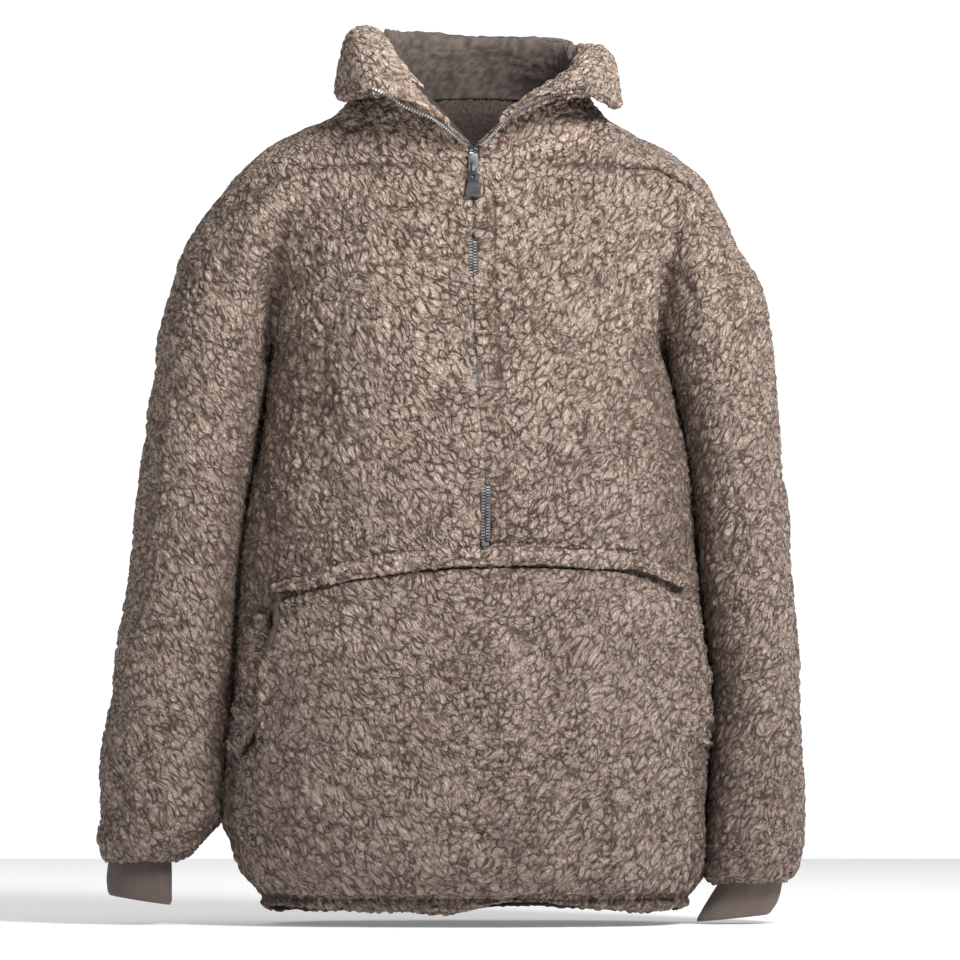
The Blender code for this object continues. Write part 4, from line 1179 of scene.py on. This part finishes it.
def make_lining(rings, plush):
    """Short dark plush inside the collar's stand and its back."""
    columns, rows = 240 // COARSE, 44 // COARSE
    place = np.linspace(0.015, 0.985, columns)[:, None] + np.zeros((1, rows))
    top = lining_rows(place) / 8
    rise = np.linspace(0.01, 1, rows)[None, :] * top
    grid = collar_section(place, rise, neck_seam(rings, place))
    guide_columns, guide_rows = 120, 34
    normals = collar_grid(rings, guide_columns, guide_rows)[3]
    col, row = place * (guide_columns - 1), rise * (guide_rows - 1)
    c0 = np.minimum(col.astype(int), guide_columns - 2)
    r0 = np.minimum(row.astype(int), guide_rows - 2)
    fc, fr = (col - c0)[..., None], (row - r0)[..., None]
    normal = unit(
        normals[c0, r0] * (1 - fc) * (1 - fr) + normals[c0 + 1, r0] * fc * (1 - fr)
        + normals[c0, r0 + 1] * (1 - fc) * fr + normals[c0 + 1, r0 + 1] * fc * fr
    )
    flat, normal = grid.reshape(-1, 3), normal.reshape(-1, 3)
    height, tone, _ = pile(flat, seed=131, size=0.53)
    end = np.minimum.reduce([
        np.arange(columns)[:, None] + 0 * rise, (columns - 1 - np.arange(columns))[:, None] + 0 * rise,
        (rows - 1 - np.arange(rows))[None, :] + 0 * rise,
    ]).reshape(-1)
    rounded = soft_step(end, 0, 3) * soft_step(np.arange(rows)[None, :] + 0 * place, 0, 10).reshape(
        -1
    )
    face = FLEECE + (0.5 + (2.2 + 3.2 * height) * rounded) * MM
    outer = flat - normal * face[:, None]
    back = flat - normal * (FLEECE + 0.3 * MM)
    faces = grid_faces(columns, rows) + grid_faces(columns, rows, start=len(flat), flip=True)
    faces += rim_walls(columns, rows, flip=True)
    fields = {"pile": np.concatenate([height, height * 0]), "tone": np.concatenate([tone, tone])}
    obj = mesh_object("collar_plush", np.concatenate([outer, back]), faces, [plush], None, fields)
    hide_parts("collar_lining")
    return obj


# Cuffs


CUFF_WALE = 104


def make_cuff(side, material):
    name = "right" if side < 0 else "left"
    table = np.array(CUFF[name], float) * MM
    rows, around = 34 // COARSE, CUFF_WALE * 5
    t = np.linspace(0, len(table) - 1, rows)
    marks = np.arange(len(table))
    x, forward, z, half_width, half_depth = (
        smooth(marks, table[:, i], t)[None, :] for i in range(5)
    )
    turn = (np.arange(around) / around * 2 * math.pi)[:, None]
    tilt = CUFF_TILT[name] * t[None, :] / (len(table) - 1)
    wale = 0.5 + 0.5 * np.cos(turn * CUFF_WALE)
    part = (t / t[-1])[None, :]
    # The band is gathered a little at the sleeve and swells between its ends
    pucker = 0.7 * np.sin(turn * 9 + 1) * (1 - part) + 0.5 * np.sin(turn * 4 + 2 + part * 2)
    swell = (0.8 * np.sin(math.pi * part) + pucker - 1.0 * soft_step(part, 0.9, 1)) * MM
    rise = 0.4 * MM * wale ** 0.7 * (1 - soft_step(part, 0.93, 1) * 0.4)

    def ring(change):
        across = (half_width + change) * np.sin(turn)
        return np.stack(
            [x + across, -forward - (half_depth + change) * np.cos(turn), z - tilt * across],
            axis=-1
        )

    outer, inner = ring(rise - 0.5 * MM + swell), ring(-2.6 * MM + 0 * rise + swell)
    loops = np.concatenate([outer, inner[:, ::-1]], axis=1)
    total = loops.shape[1]
    index = np.arange(around * total).reshape(around, total)
    nxt = np.roll(index, -1, axis=0)
    faces = []
    for j in range(total):
        k = (j + 1) % total
        faces.append(np.stack([index[:, j], index[:, k], nxt[:, k], nxt[:, j]], axis=1))
    faces = np.concatenate(faces)
    shade = np.concatenate([wale + 0 * part, np.full((around, rows), 0.5)], axis=1)
    obj = mesh_object(
        "rib_cuff_" + name, loops.reshape(-1, 3), faces.tolist(), [material], None,
        {"pile": shade.reshape(-1)}
    )
    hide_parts("cuff_" + name)
    return obj


def make_stitches(front, thread):
    """A row of sunk stitches beside the zip."""
    mesh = front.data
    tree = bvhtree.BVHTree.FromPolygons(
        [v.co for v in mesh.vertices], [p.vertices for p in mesh.polygons]
    )
    profile = ((-1.35, 0.12), (-0.9, 0.42), (0.9, 0.42), (1.35, 0.12))
    points, faces = [], []
    for z in np.arange(STITCH_TOP, ZIP_END, -STITCH_PITCH):
        x = float(zip_across(z)) + STITCH_ACROSS
        place, _, _, _ = tree.ray_cast(Vector((x, -1.0, z)), Vector((0, 1, 0)))
        if place is None:
            continue
        start = len(points)
        for along, wide in profile:
            for corner in range(6):
                turn = corner * math.pi / 3
                points.append(
                    (x + wide * MM * math.cos(turn), place.y + 0.1 * MM + wide * MM * math.sin(turn), z + along * MM)
                )
        for ring in range(3):
            for corner in range(6):
                a, b = start + ring * 6 + corner, start + ring * 6 + (corner + 1) % 6
                faces.append((a, b, b + 6, a + 6))
        faces.append(tuple(range(start + 5, start - 1, -1)))
        faces.append(tuple(range(start + 18, start + 24)))
    return mesh_object("zip_topstitch", np.array(points), faces, [thread])


# Zip


def chain_path(side, rings):
    """Centre, width way and outward way of one half of the zip at many places up it."""
    reach = CHAIN_EDGE
    z = np.linspace(ZIP_END + 6 * MM, -33 * MM, 260)
    low = torso_point(side, -1, 0.0, z - 2 * MM)
    high = torso_point(side, -1, 0.0, z + 2 * MM)
    edge = torso_point(side, -1, 0.0, z)
    out = unit(np.cross(np.array((1.0, 0.0, 0.0)), high - low))
    away = np.tile(np.array((-side * 1.0, 0.0, 0.0)), (len(z), 1))
    # Where the pile closes over the zip, the teeth lie deeper
    centre = edge + away * reach - out * (1.2 + 3.0 * covered(z))[:, None] * MM
    _, _, grid, normals = collar_grid(rings, 160, 60)
    column, following = (0, 4) if side < 0 else (-1, -5)
    line, inner = grid[column, 3:], grid[following, 3:]
    normal = normals[column, 3:]
    along = unit(np.gradient(line, axis=0))
    way = line - inner
    way = way - along * np.sum(way * along, axis=1)[:, None]
    way = unit(way - normal * np.sum(way * normal, axis=1)[:, None])
    ease = np.clip(np.linspace(-0.1, 1, len(line)), 0, 1)[:, None]
    collar = line - normal * FLEECE / 2 + way * (reach + 2.0 * MM * ease)
    return np.concatenate([centre, collar]), np.concatenate([away, way]), np.concatenate(
        [out, normal]
    )


def evenly(path, others, pitch):
    """A path and the ways that go with it, read at even steps."""
    length = np.concatenate([[0], np.cumsum(np.linalg.norm(np.diff(path, axis=0), axis=1))])
    at = np.arange(0, length[-1], pitch)
    results = [
        np.stack([np.interp(at, length, values[:, i]) for i in range(3)], axis=1)
        for values in (path, *others)
    ]
    return results[0], [unit(values) for values in results[1:]]


def make_zip_half(side, rings, tape, metal):
    """The tape's edge and its row of teeth."""
    name = "right" if side < 0 else "left"
    path, away, out = chain_path(side, rings)
    path, (away, out) = evenly(path, (away, out), TAPE_PITCH)
    points, faces, slots = [], [], []
    count = len(path)
    rows = [(-1.9, 0.35), (0.9, 0.35), (0.9, -0.35), (-1.9, -0.35)]
    strip = np.stack([path + away * w * MM + out * h * MM for w, h in rows], axis=1)
    points.append(strip.reshape(-1, 3))
    for i in range(count - 1):
        for j in range(4):
            k = (j + 1) % 4
            loop = (i * 4 + j, i * 4 + k, i * 4 + 4 + k, i * 4 + 4 + j)
            faces.append(loop if side > 0 else loop[::-1])
            slots.append(0)
    faces += [(0, 3, 2, 1) if side > 0 else (0, 1, 2, 3)]
    last = (count - 1) * 4
    faces += [
        (last, last + 1, last + 2, last + 3) if side > 0 else (last, last + 3, last + 2, last + 1)
    ]
    slots += [0, 0]
    start = count * 4
    along = unit(np.gradient(path, axis=0))
    # Teeth: a waist on the tape and a head at the edge
    profile = (
        (-1.2, 0.55), (0.8, 0.55), (1.3, 0.75), (2.3, 0.75), (2.3, -0.75), (1.3, -0.75),
        (0.8, -0.55), (-1.2, -0.55)
    )
    half = 0 if side < 0 else 1
    for i in range(half, count, 2):
        base = start
        for lift in (1.15, -1.15):
            for w, l in profile:
                points.append(
                    (path[i] + away[i] * w * MM + along[i] * l * MM + out[i] * lift * MM)[None]
                )
        n = len(profile)
        top = tuple(range(base, base + n))
        low = tuple(range(base + 2 * n - 1, base + n - 1, -1))
        walls = [
            (base + (j + 1) % n, base + j, base + n + j, base + n + (j + 1) % n) for j in range(n)
        ]
        loops = [top, low, *walls]
        if side > 0:
            loops = [loop[::-1] for loop in loops]
        faces += loops
        slots += [1] * len(loops)
        start += 2 * n
    obj = mesh_object("zip_teeth_" + name, np.concatenate(points), faces, [tape, metal], slots)
    obj.data.set_sharp_from_angle(angle=math.radians(30))
    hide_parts("zip_chain_" + name)
    return obj


# Materials


def new_material(name):
    made = bpy.data.materials.new(name)
    made.use_nodes = True
    tree = made.node_tree
    return made, tree, tree.nodes["Principled BSDF"]


def add(tree, kind, **settings):
    node = tree.nodes.new(kind)
    for key, value in settings.items():
        if key in node.inputs:
            node.inputs[key].default_value = value
        else:
            setattr(node, key, value)
    return node


def field(tree, name):
    return add(tree, "ShaderNodeAttribute", attribute_name=name).outputs["Fac"]


def ramp(tree, source, stops):
    node = add(tree, "ShaderNodeValToRGB")
    tree.links.new(source, node.inputs["Fac"])
    elements = node.color_ramp.elements
    while len(elements) < len(stops):
        elements.new(0.5)
    for element, (place, colour) in zip(elements, stops):
        element.position = place
        element.color = (*colour, 1)
    return node.outputs["Color"]


def mix(tree, factor, first, second, blend="MIX"):
    node = add(tree, "ShaderNodeMix", data_type="RGBA", blend_type=blend)
    for socket, value in ((0, factor), (6, first), (7, second)):
        if isinstance(value, (int, float)):
            node.inputs[socket].default_value = value
        elif isinstance(value, tuple):
            node.inputs[socket].default_value = (*value, 1)
        else:
            tree.links.new(value, node.inputs[socket])
    return node.outputs[2]


def spread(tree, source, low, high, start=0.0, end=1.0):
    node = add(tree, "ShaderNodeMapRange")
    for index, value in enumerate((low, high, start, end), start=1):
        node.inputs[index].default_value = value
    tree.links.new(source, node.inputs[0])
    return node.outputs[0]


def noise(tree, scale, detail=2.0, rough=0.5, stretch=(1, 1, 1)):
    place = add(tree, "ShaderNodeTexCoord").outputs["Object"]
    mapped = add(tree, "ShaderNodeMapping")
    mapped.inputs["Scale"].default_value = stretch
    tree.links.new(place, mapped.inputs["Vector"])
    node = add(tree, "ShaderNodeTexNoise", Scale=scale, Detail=detail, Roughness=rough)
    tree.links.new(mapped.outputs["Vector"], node.inputs["Vector"])
    return node.outputs["Fac"]


def bumped(tree, shader, heights):
    """Chains bump maps given as (height, strength, distance) rows."""
    last = None
    for height, strength, distance in heights:
        node = add(tree, "ShaderNodeBump", Strength=strength, Distance=distance)
        tree.links.new(height, node.inputs["Height"])
        if last is not None:
            tree.links.new(last, node.inputs["Normal"])
        last = node.outputs["Normal"]
    tree.links.new(last, shader.inputs["Normal"])


def joined(tree, kind, first, second):
    node = add(tree, "ShaderNodeMath", operation=kind)
    for socket, value in zip(node.inputs, (first, second)):
        if isinstance(value, (int, float)):
            socket.default_value = value
        else:
            tree.links.new(value, socket)
    return node.outputs[0]


def crevices(tree, place, size, reach):
    """1 on the tops of round curls and 0 along the lines between them."""
    cell = add(
        tree, "ShaderNodeTexVoronoi", feature="DISTANCE_TO_EDGE", Scale=1 / size, Randomness=1.0
    )
    tree.links.new(place, cell.inputs["Vector"])
    return joined(tree, "POWER", spread(tree, cell.outputs["Distance"], 0.0, reach), 0.85)


def sherpa_material(name, lift):
    """Curled pile, with painted shade in its crevices and creases. The lift makes it paler, which paints light on
    the copy used for the rolls and the collar.
    """
    made, tree, shader = new_material(name)
    places = add(tree, "ShaderNodeAttribute", attribute_name="lie").outputs["Vector"]
    # A quick noise bends the places, so that no crevice runs straight
    quick = add(tree, "ShaderNodeTexNoise", Scale=210.0, Detail=2.0)
    tree.links.new(places, quick.inputs["Vector"])
    move = add(tree, "ShaderNodeVectorMath", operation="MULTIPLY_ADD")
    tree.links.new(quick.outputs["Color"], move.inputs[0])
    move.inputs[1].default_value = (0.0042, 0.0042, 0.0042)
    tree.links.new(places, move.inputs[2])
    bent = move.outputs[0]
    strands = noise(tree, 640, 2, 0.6, (1, 1, 0.5))
    patches = noise(tree, 9, 2, 0.55)
    uneven = noise(tree, 110, 2, 0.6)
    curls = crevices(tree, bent, 0.0088, 0.26)
    fine = crevices(tree, bent, 0.0043, 0.30)
    # Long creases follow the middle line of a noise
    slow = add(tree, "ShaderNodeTexNoise", Scale=62.0, Detail=1.0)
    tree.links.new(bent, slow.inputs["Vector"])
    off_line = add(tree, "ShaderNodeMath", operation="ABSOLUTE")
    tree.links.new(joined(tree, "SUBTRACT", slow.outputs["Fac"], 0.5), off_line.inputs[0])
    crease = spread(tree, off_line.outputs[0], 0.0, 0.05)
    # The crevices come and go
    strength = spread(tree, uneven, 0.36, 0.58, 0.35, 1.0)
    lost = joined(tree, "MULTIPLY", joined(tree, "SUBTRACT", 1.0, curls), strength)
    level = spread(tree, lost, 0.0, 1.0, 1.0, 0.10)
    level = joined(tree, "MULTIPLY", level, spread(tree, field(tree, "pile"), 0, 0.75, 0.30, 1.0))
    level = joined(tree, "MULTIPLY", level, spread(tree, fine, 0, 1, 0.66, 1.0))
    level = joined(tree, "MULTIPLY", level, spread(tree, crease, 0, 1, 0.5, 1.0))
    level = joined(tree, "ADD", level, spread(tree, strands, 0.3, 0.7, -0.07, 0.07))
    # Painted shade: the ramp darkens the colour almost to black in the crevices between curls, along the long
    # creases and where the pile field is low.
    tips = ramp(tree, level, (
        (0.05, (0.040, 0.023, 0.016)), (0.20, (0.115, 0.075, 0.057)), (0.36, (0.262, 0.190, 0.152)),
        (0.56, (0.440, 0.337, 0.279)), (0.92, (0.650, 0.518, 0.437)),
    ))
    place = add(tree, "ShaderNodeTexCoord").outputs["Object"]
    split = add(tree, "ShaderNodeSeparateXYZ")
    tree.links.new(place, split.inputs[0])
    # Painted shade: towards the bottom the colour grows darker and cooler, where less light falls.
    up = spread(tree, split.outputs["Z"], -0.66, -0.16)
    low = mix(tree, 1.0, tips, (0.71, 0.705, 0.74), "MULTIPLY")
    darker_below = mix(tree, up, low, tips)
    toned = mix(tree, spread(tree, field(tree, "tone"), 0, 1, 0.0, 0.18), darker_below, (0.30, 0.23, 0.19))
    # Random darker patches.
    blotched = mix(
        tree, spread(tree, patches, 0.38, 0.66, 0.0, 0.3), toned,
        mix(tree, 1.0, toned, (0.80, 0.80, 0.82), "MULTIPLY")
    )
    lifted = mix(tree, 1.0, blotched, (lift, lift, lift * 0.98), "MULTIPLY")
    tree.links.new(lifted, shader.inputs["Base Color"])
    shader.inputs["Roughness"].default_value = 0.92
    shader.inputs["Specular IOR Level"].default_value = 0.15
    shader.inputs["Sheen Weight"].default_value = 0.15
    shader.inputs["Sheen Roughness"].default_value = 0.55
    shader.inputs["Sheen Tint"].default_value = (0.9, 0.82, 0.76, 1)
    bumped(tree, shader, ((level, 1.0, 0.0060),))
    return made


def backing_material():
    made, tree, shader = new_material("fleece_backing")
    loops = noise(tree, 420, 2, 0.5, (1, 1, 0.6))
    # Painted shade: the reverse side is coloured almost black for the shadow inside the garment.
    tree.links.new(
        ramp(tree, loops, ((0.3, (0.040, 0.030, 0.026)), (0.7, (0.085, 0.066, 0.058)))),
        shader.inputs["Base Color"]
    )
    shader.inputs["Roughness"].default_value = 0.95
    shader.inputs["Specular IOR Level"].default_value = 0.15
    bumped(tree, shader, ((loops, 0.5, 0.0012),))
    return made


def plush_material():
    made, tree, shader = new_material("short_dark_plush")
    height = field(tree, "pile")
    strands = noise(tree, 900, 3, 0.6)
    patches = noise(tree, 24, 3, 0.6)
    # Painted shade: the colour darkens in the hollows between the plush's lumps.
    base = ramp(
        tree, height,
        ((0.0, (0.026, 0.018, 0.015)), (0.35, (0.070, 0.052, 0.045)), (0.9, (0.165, 0.130, 0.114)))
    )
    # Random darker patches.
    blotched = mix(
        tree, spread(tree, patches, 0.35, 0.65, 0.0, 0.35), base,
        mix(tree, 1.0, base, (0.72, 0.72, 0.74), "MULTIPLY")
    )
    tree.links.new(
        mix(tree, spread(tree, strands, 0.3, 0.7, 0.0, 0.5), blotched, (0.115, 0.096, 0.088)),
        shader.inputs["Base Color"]
    )
    shader.inputs["Roughness"].default_value = 0.9
    shader.inputs["Specular IOR Level"].default_value = 0.15
    shader.inputs["Sheen Weight"].default_value = 0.12
    shader.inputs["Sheen Roughness"].default_value = 0.5
    bumped(tree, shader, ((strands, 0.7, 0.0009),))
    return made


def rib_material(name, lift):
    made, tree, shader = new_material(name)
    height = field(tree, "pile")
    fuzz = noise(tree, 700, 3, 0.6, (1, 1, 0.5))
    patches = noise(tree, 30, 2, 0.5)
    # Painted shade: the colour darkens in the valleys between the ribs.
    base = ramp(
        tree, height,
        ((0.0, (0.120, 0.090, 0.079)), (0.6, (0.190, 0.148, 0.130)), (1.0, (0.22, 0.174, 0.152)))
    )
    # Random darker patches.
    blotched = mix(
        tree, spread(tree, patches, 0.35, 0.65, 0.0, 0.4), base,
        mix(tree, 1.0, base, (0.75, 0.74, 0.74), "MULTIPLY")
    )
    # The lift darkens the whole cuff: painted shade.
    tree.links.new(
        mix(tree, 1.0, blotched, (lift, lift, lift), "MULTIPLY"), shader.inputs["Base Color"]
    )
    shader.inputs["Roughness"].default_value = 0.9
    shader.inputs["Specular IOR Level"].default_value = 0.2
    shader.inputs["Sheen Weight"].default_value = 0.25
    bumped(tree, shader, ((fuzz, 0.45, 0.0006),))
    return made


def tape_material():
    made, tree, shader = new_material("zip_tape")
    weave = noise(tree, 900, 2, 0.5, (1, 1, 0.35))
    tree.links.new(
        ramp(tree, weave, ((0.3, (0.07, 0.055, 0.05)), (0.7, (0.13, 0.105, 0.095)))),
        shader.inputs["Base Color"]
    )
    shader.inputs["Roughness"].default_value = 0.85
    bumped(tree, shader, ((weave, 0.4, 0.0003),))
    return made


def metal_material(name, light, dark, roughness):
    made, tree, shader = new_material(name)
    wear = noise(tree, 160, 4, 0.6)
    scratches = noise(tree, 900, 2, 0.5, (1, 1, 0.1))
    tree.links.new(ramp(tree, wear, ((0.3, dark), (0.7, light))), shader.inputs["Base Color"])
    tree.links.new(
        spread(tree, wear, 0.3, 0.7, roughness - 0.06, roughness + 0.1), shader.inputs["Roughness"]
    )
    shader.inputs["Metallic"].default_value = 1.0
    bumped(tree, shader, ((scratches, 0.12, 0.0002),))
    return made


# Assembly


def seam_strengths(points, quads):
    """How strongly each seam draws the pile in: hardly at the neck and zip, most at the yoke."""
    owners = np.zeros(len(points), int)
    bits = {name: 1 << number for number, name in enumerate(quads)}
    for name, loops in quads.items():
        owners[np.unique(loops)] |= bits[name]
    x, y, z = points.T
    sleeves = bits["sleeve_right"] | bits["sleeve_left"]
    yoke = bits["front"] | bits["back"]
    strength = np.full(len(points), 0.5)
    strength[(owners & yoke) == yoke] = 1.2
    strength[((owners & yoke) == yoke) & (z < ARMPIT)] = 0.5
    strength[(owners & sleeves) > 0] = 0.3
    strength[((owners & bits["hem_band"]) > 0) & ((owners & yoke) > 0)] = 0.45
    strength[(owners == bits["front"]) & (np.abs(x - zip_across(z)) < 6.5 * MM) & (y < 0)] = 0.0
    # The yoke's seam fades towards the zip and is soft down the shoulders
    along_yoke = ((owners & yoke) == yoke) & (z > ARMPIT) & (y < 0)
    strength[along_yoke] *= soft_step(np.abs(x[along_yoke]), 0.052, 0.085)
    strength[along_yoke & (np.abs(x) < 0.09) & (z > -34 * MM)] = 0.0
    strength[along_yoke & (np.abs(x) > 0.235)] = 0.4
    at_neck = (z > NECK_FRONT - 1 * MM) & (np.abs(x) < 0.15)
    strength[(owners & ~yoke == 0) & at_neck & ((owners & yoke) != yoke)] = 0.12
    return strength


def neck_normals(blocks, rings, normals):
    """The body's outward ways round the neck seam."""
    known, ways = [], []
    for side in (-1, 1):
        grid, place = rings[side][0], rings[side][1]
        block = [made for made in blocks if made.points is grid][0]
        order = slice(None) if side < 0 else slice(None, None, -1)
        known.append((place / 4 if side < 0 else 1 - place / 4)[order])
        ways.append(normals[block.ids[order, -1]])
    return np.concatenate(known), np.concatenate(ways)


def make_scene():
    backing = backing_material()
    cloth = [sherpa_material("sherpa_pile", 1.0), backing]
    # Painted light: the rolls and the collar use a paler copy of the same pile, for the light they catch.
    pale = [sherpa_material("sherpa_roll_painted_light", 1.22), backing]
    tape, plush = tape_material(), plush_material()
    # Painted shade: the right cuff's copy of the rib is made darker than the left one's.
    ribs = {
        "right": rib_material("rib_knit_right_painted_shade", 0.6), "left": rib_material("rib_knit_left", 0.85)
    }
    silver = metal_material("silver_zip", (0.62, 0.62, 0.63), (0.42, 0.42, 0.43), 0.3)
    steel = metal_material("slider_steel", (0.34, 0.34, 0.35), (0.2, 0.2, 0.21), 0.28)
    gunmetal = metal_material("gunmetal_pull", (0.13, 0.13, 0.14), (0.07, 0.07, 0.075), 0.32)
    blocks, rings = build_blocks()
    middle_blocks(blocks, rings)
    points = weld(blocks)
    quads, coarse = panel_quads(blocks)
    normals = vertex_normals(points, np.concatenate(list(quads.values())))
    shift_slit(points)
    strength = seam_strengths(points, quads)
    rings["neck"] = neck_normals(blocks, rings, normals)
    flat = points
    points, dim, sunk = soften(points, normals)
    inner = inside_places(flat, normals)
    made = {}
    looks = {
        "front": "front_panel", "back": "back_panel", "sleeve_right": "sleeve_right_panel",
        "sleeve_left": "sleeve_left_panel", "hem_band": "hem_casing",
    }
    for name, look in looks.items():
        made[name] = dress(
            name, points, normals, inner, quads[name], coarse[name], look, cloth, strength, dim,
            sunk
        )
    made["collar"] = make_collar(rings, pale)
    made["collar_lining"] = make_lining(rings, plush)
    made["pocket"] = make_pocket(cloth)
    places = np.linspace(POCKET_HEM_ENDS[0], POCKET_HEM_ENDS[1], 13)
    route = np.stack([places, pocket_line(places * MM) / MM], axis=1)
    made["pocket_hem"] = make_band(
        "pocket_hem", "pocket_top_roll", route, BAND_HALF, BAND_RISE, BAND_EASE, pale
    )
    for name, edge in (("right", EDGE_ROUTE_RIGHT), ("left", EDGE_ROUTE_LEFT)):
        node = "pocket_edge_" + name
        made[node] = make_band(
            node, "pocket_roll_" + name, edge, EDGE_HALF, EDGE_RISE, EDGE_EASE, pale
        )
    for side, name in ((-1, "right"), (1, "left")):
        made["cuff_" + name] = make_cuff(side, ribs[name])
        made["zip_chain_" + name] = make_zip_half(side, rings, tape, silver)
    made["stitches"] = make_stitches(made["front"], tape)
    for obj in made.values():
        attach(obj, "garment")
    nodes = frame["nodes"]
    for name, metal in (("zip_slider", steel), ("zip_stop", silver), ("zip_pull", gunmetal)):
        nodes[name].material_slots[0].material = metal
        bevel = nodes[name].modifiers.new("edges", "BEVEL")
        bevel.width = 0.35 * MM
        bevel.segments = 2
    return made


# Lights: place, side of the lamp, and its power in watts
LIGHTS = {
    "key_light": ((1.15, -1.7, 1.25), 0.8, 88),
    "fill_light": ((-1.9, -2.4, 0.6), 1.8, 5),
    "top_light": ((0.1, 0.2, 2.2), 1.6, 6),
    "back_light": ((-1.2, 2.0, 1.2), 1.5, 14),
}
LIGHT_TARGET = (0.0, 0.0, -0.3)
FLOOR_REACH = 7.0
FLOOR_BACK = 2.4
# The photo's frame: its side in pixels, a pixel's size at the garment, and where the axes meet
PHOTO_SIDE = 960
PIXEL = 0.96 * MM
ORIGIN_COLUMN = 474
ORIGIN_ROW = 128
CAMERA_DISTANCE = 14.0
SENSOR = 36.0


def make_lights():
    for name, (place, size, power) in LIGHTS.items():
        data = bpy.data.lights.new(name, "AREA")
        data.shape = "RECTANGLE"
        data.size, data.size_y = size, size
        data.energy = power
        light = bpy.data.objects.new(name, data)
        light.location = place
        aim = Vector(LIGHT_TARGET) - Vector(place)
        light.rotation_euler = aim.to_track_quat("-Z", "Y").to_euler()
        bpy.context.scene.collection.objects.link(light)


def make_studio():
    """A pale floor, with a pale sky behind it that is brightest where the photo's camera looks."""
    floor_height = CAD_BOX[0][2] - 2 * MM
    left, front, back = -FLOOR_REACH, -FLOOR_REACH, FLOOR_BACK
    corners = ((left, front), (-left, front), (-left, back), (left, back))
    made, _, shader = new_material("pale_floor")
    shader.inputs["Base Color"].default_value = (0.9, 0.9, 0.9, 1)
    shader.inputs["Roughness"].default_value = 0.9
    shader.inputs["Emission Color"].default_value = (1, 1, 1, 1)
    shader.inputs["Emission Strength"].default_value = 0.2
    floor = mesh_object(
        "studio_floor", np.array([(x, y, floor_height) for x, y in corners]), [(0, 1, 2, 3)], [made]
    )
    world = bpy.data.worlds.new("studio_world")
    world.use_nodes = True
    tree = world.node_tree
    background = tree.nodes["Background"]
    background.inputs["Color"].default_value = (1.0, 1.0, 1.0, 1)
    split = add(tree, "ShaderNodeSeparateXYZ")
    tree.links.new(add(tree, "ShaderNodeTexCoord").outputs["Generated"], split.inputs[0])
    tree.links.new(
        spread(tree, split.outputs["Y"], 0.55, 0.9, 0.24, 1.1), background.inputs["Strength"]
    )
    bpy.context.scene.world = world
    make_lights()


def make_camera():
    data = bpy.data.cameras.new("camera")
    camera = bpy.data.objects.new("camera", data)
    data.sensor_width = SENSOR
    data.lens = SENSOR * CAMERA_DISTANCE / (PHOTO_SIDE * PIXEL)
    across = (PHOTO_SIDE // 2 - ORIGIN_COLUMN) * PIXEL
    up = (ORIGIN_ROW - PHOTO_SIDE // 2) * PIXEL
    camera.location = (across, -CAMERA_DISTANCE, up)
    camera.rotation_euler = (math.pi / 2, 0, 0)
    bpy.context.scene.collection.objects.link(camera)
    bpy.context.scene.camera = camera


pieces = make_scene()
make_studio()
make_camera()
bpy.context.scene.view_settings.view_transform = "Standard"
bpy.context.view_layer.update()
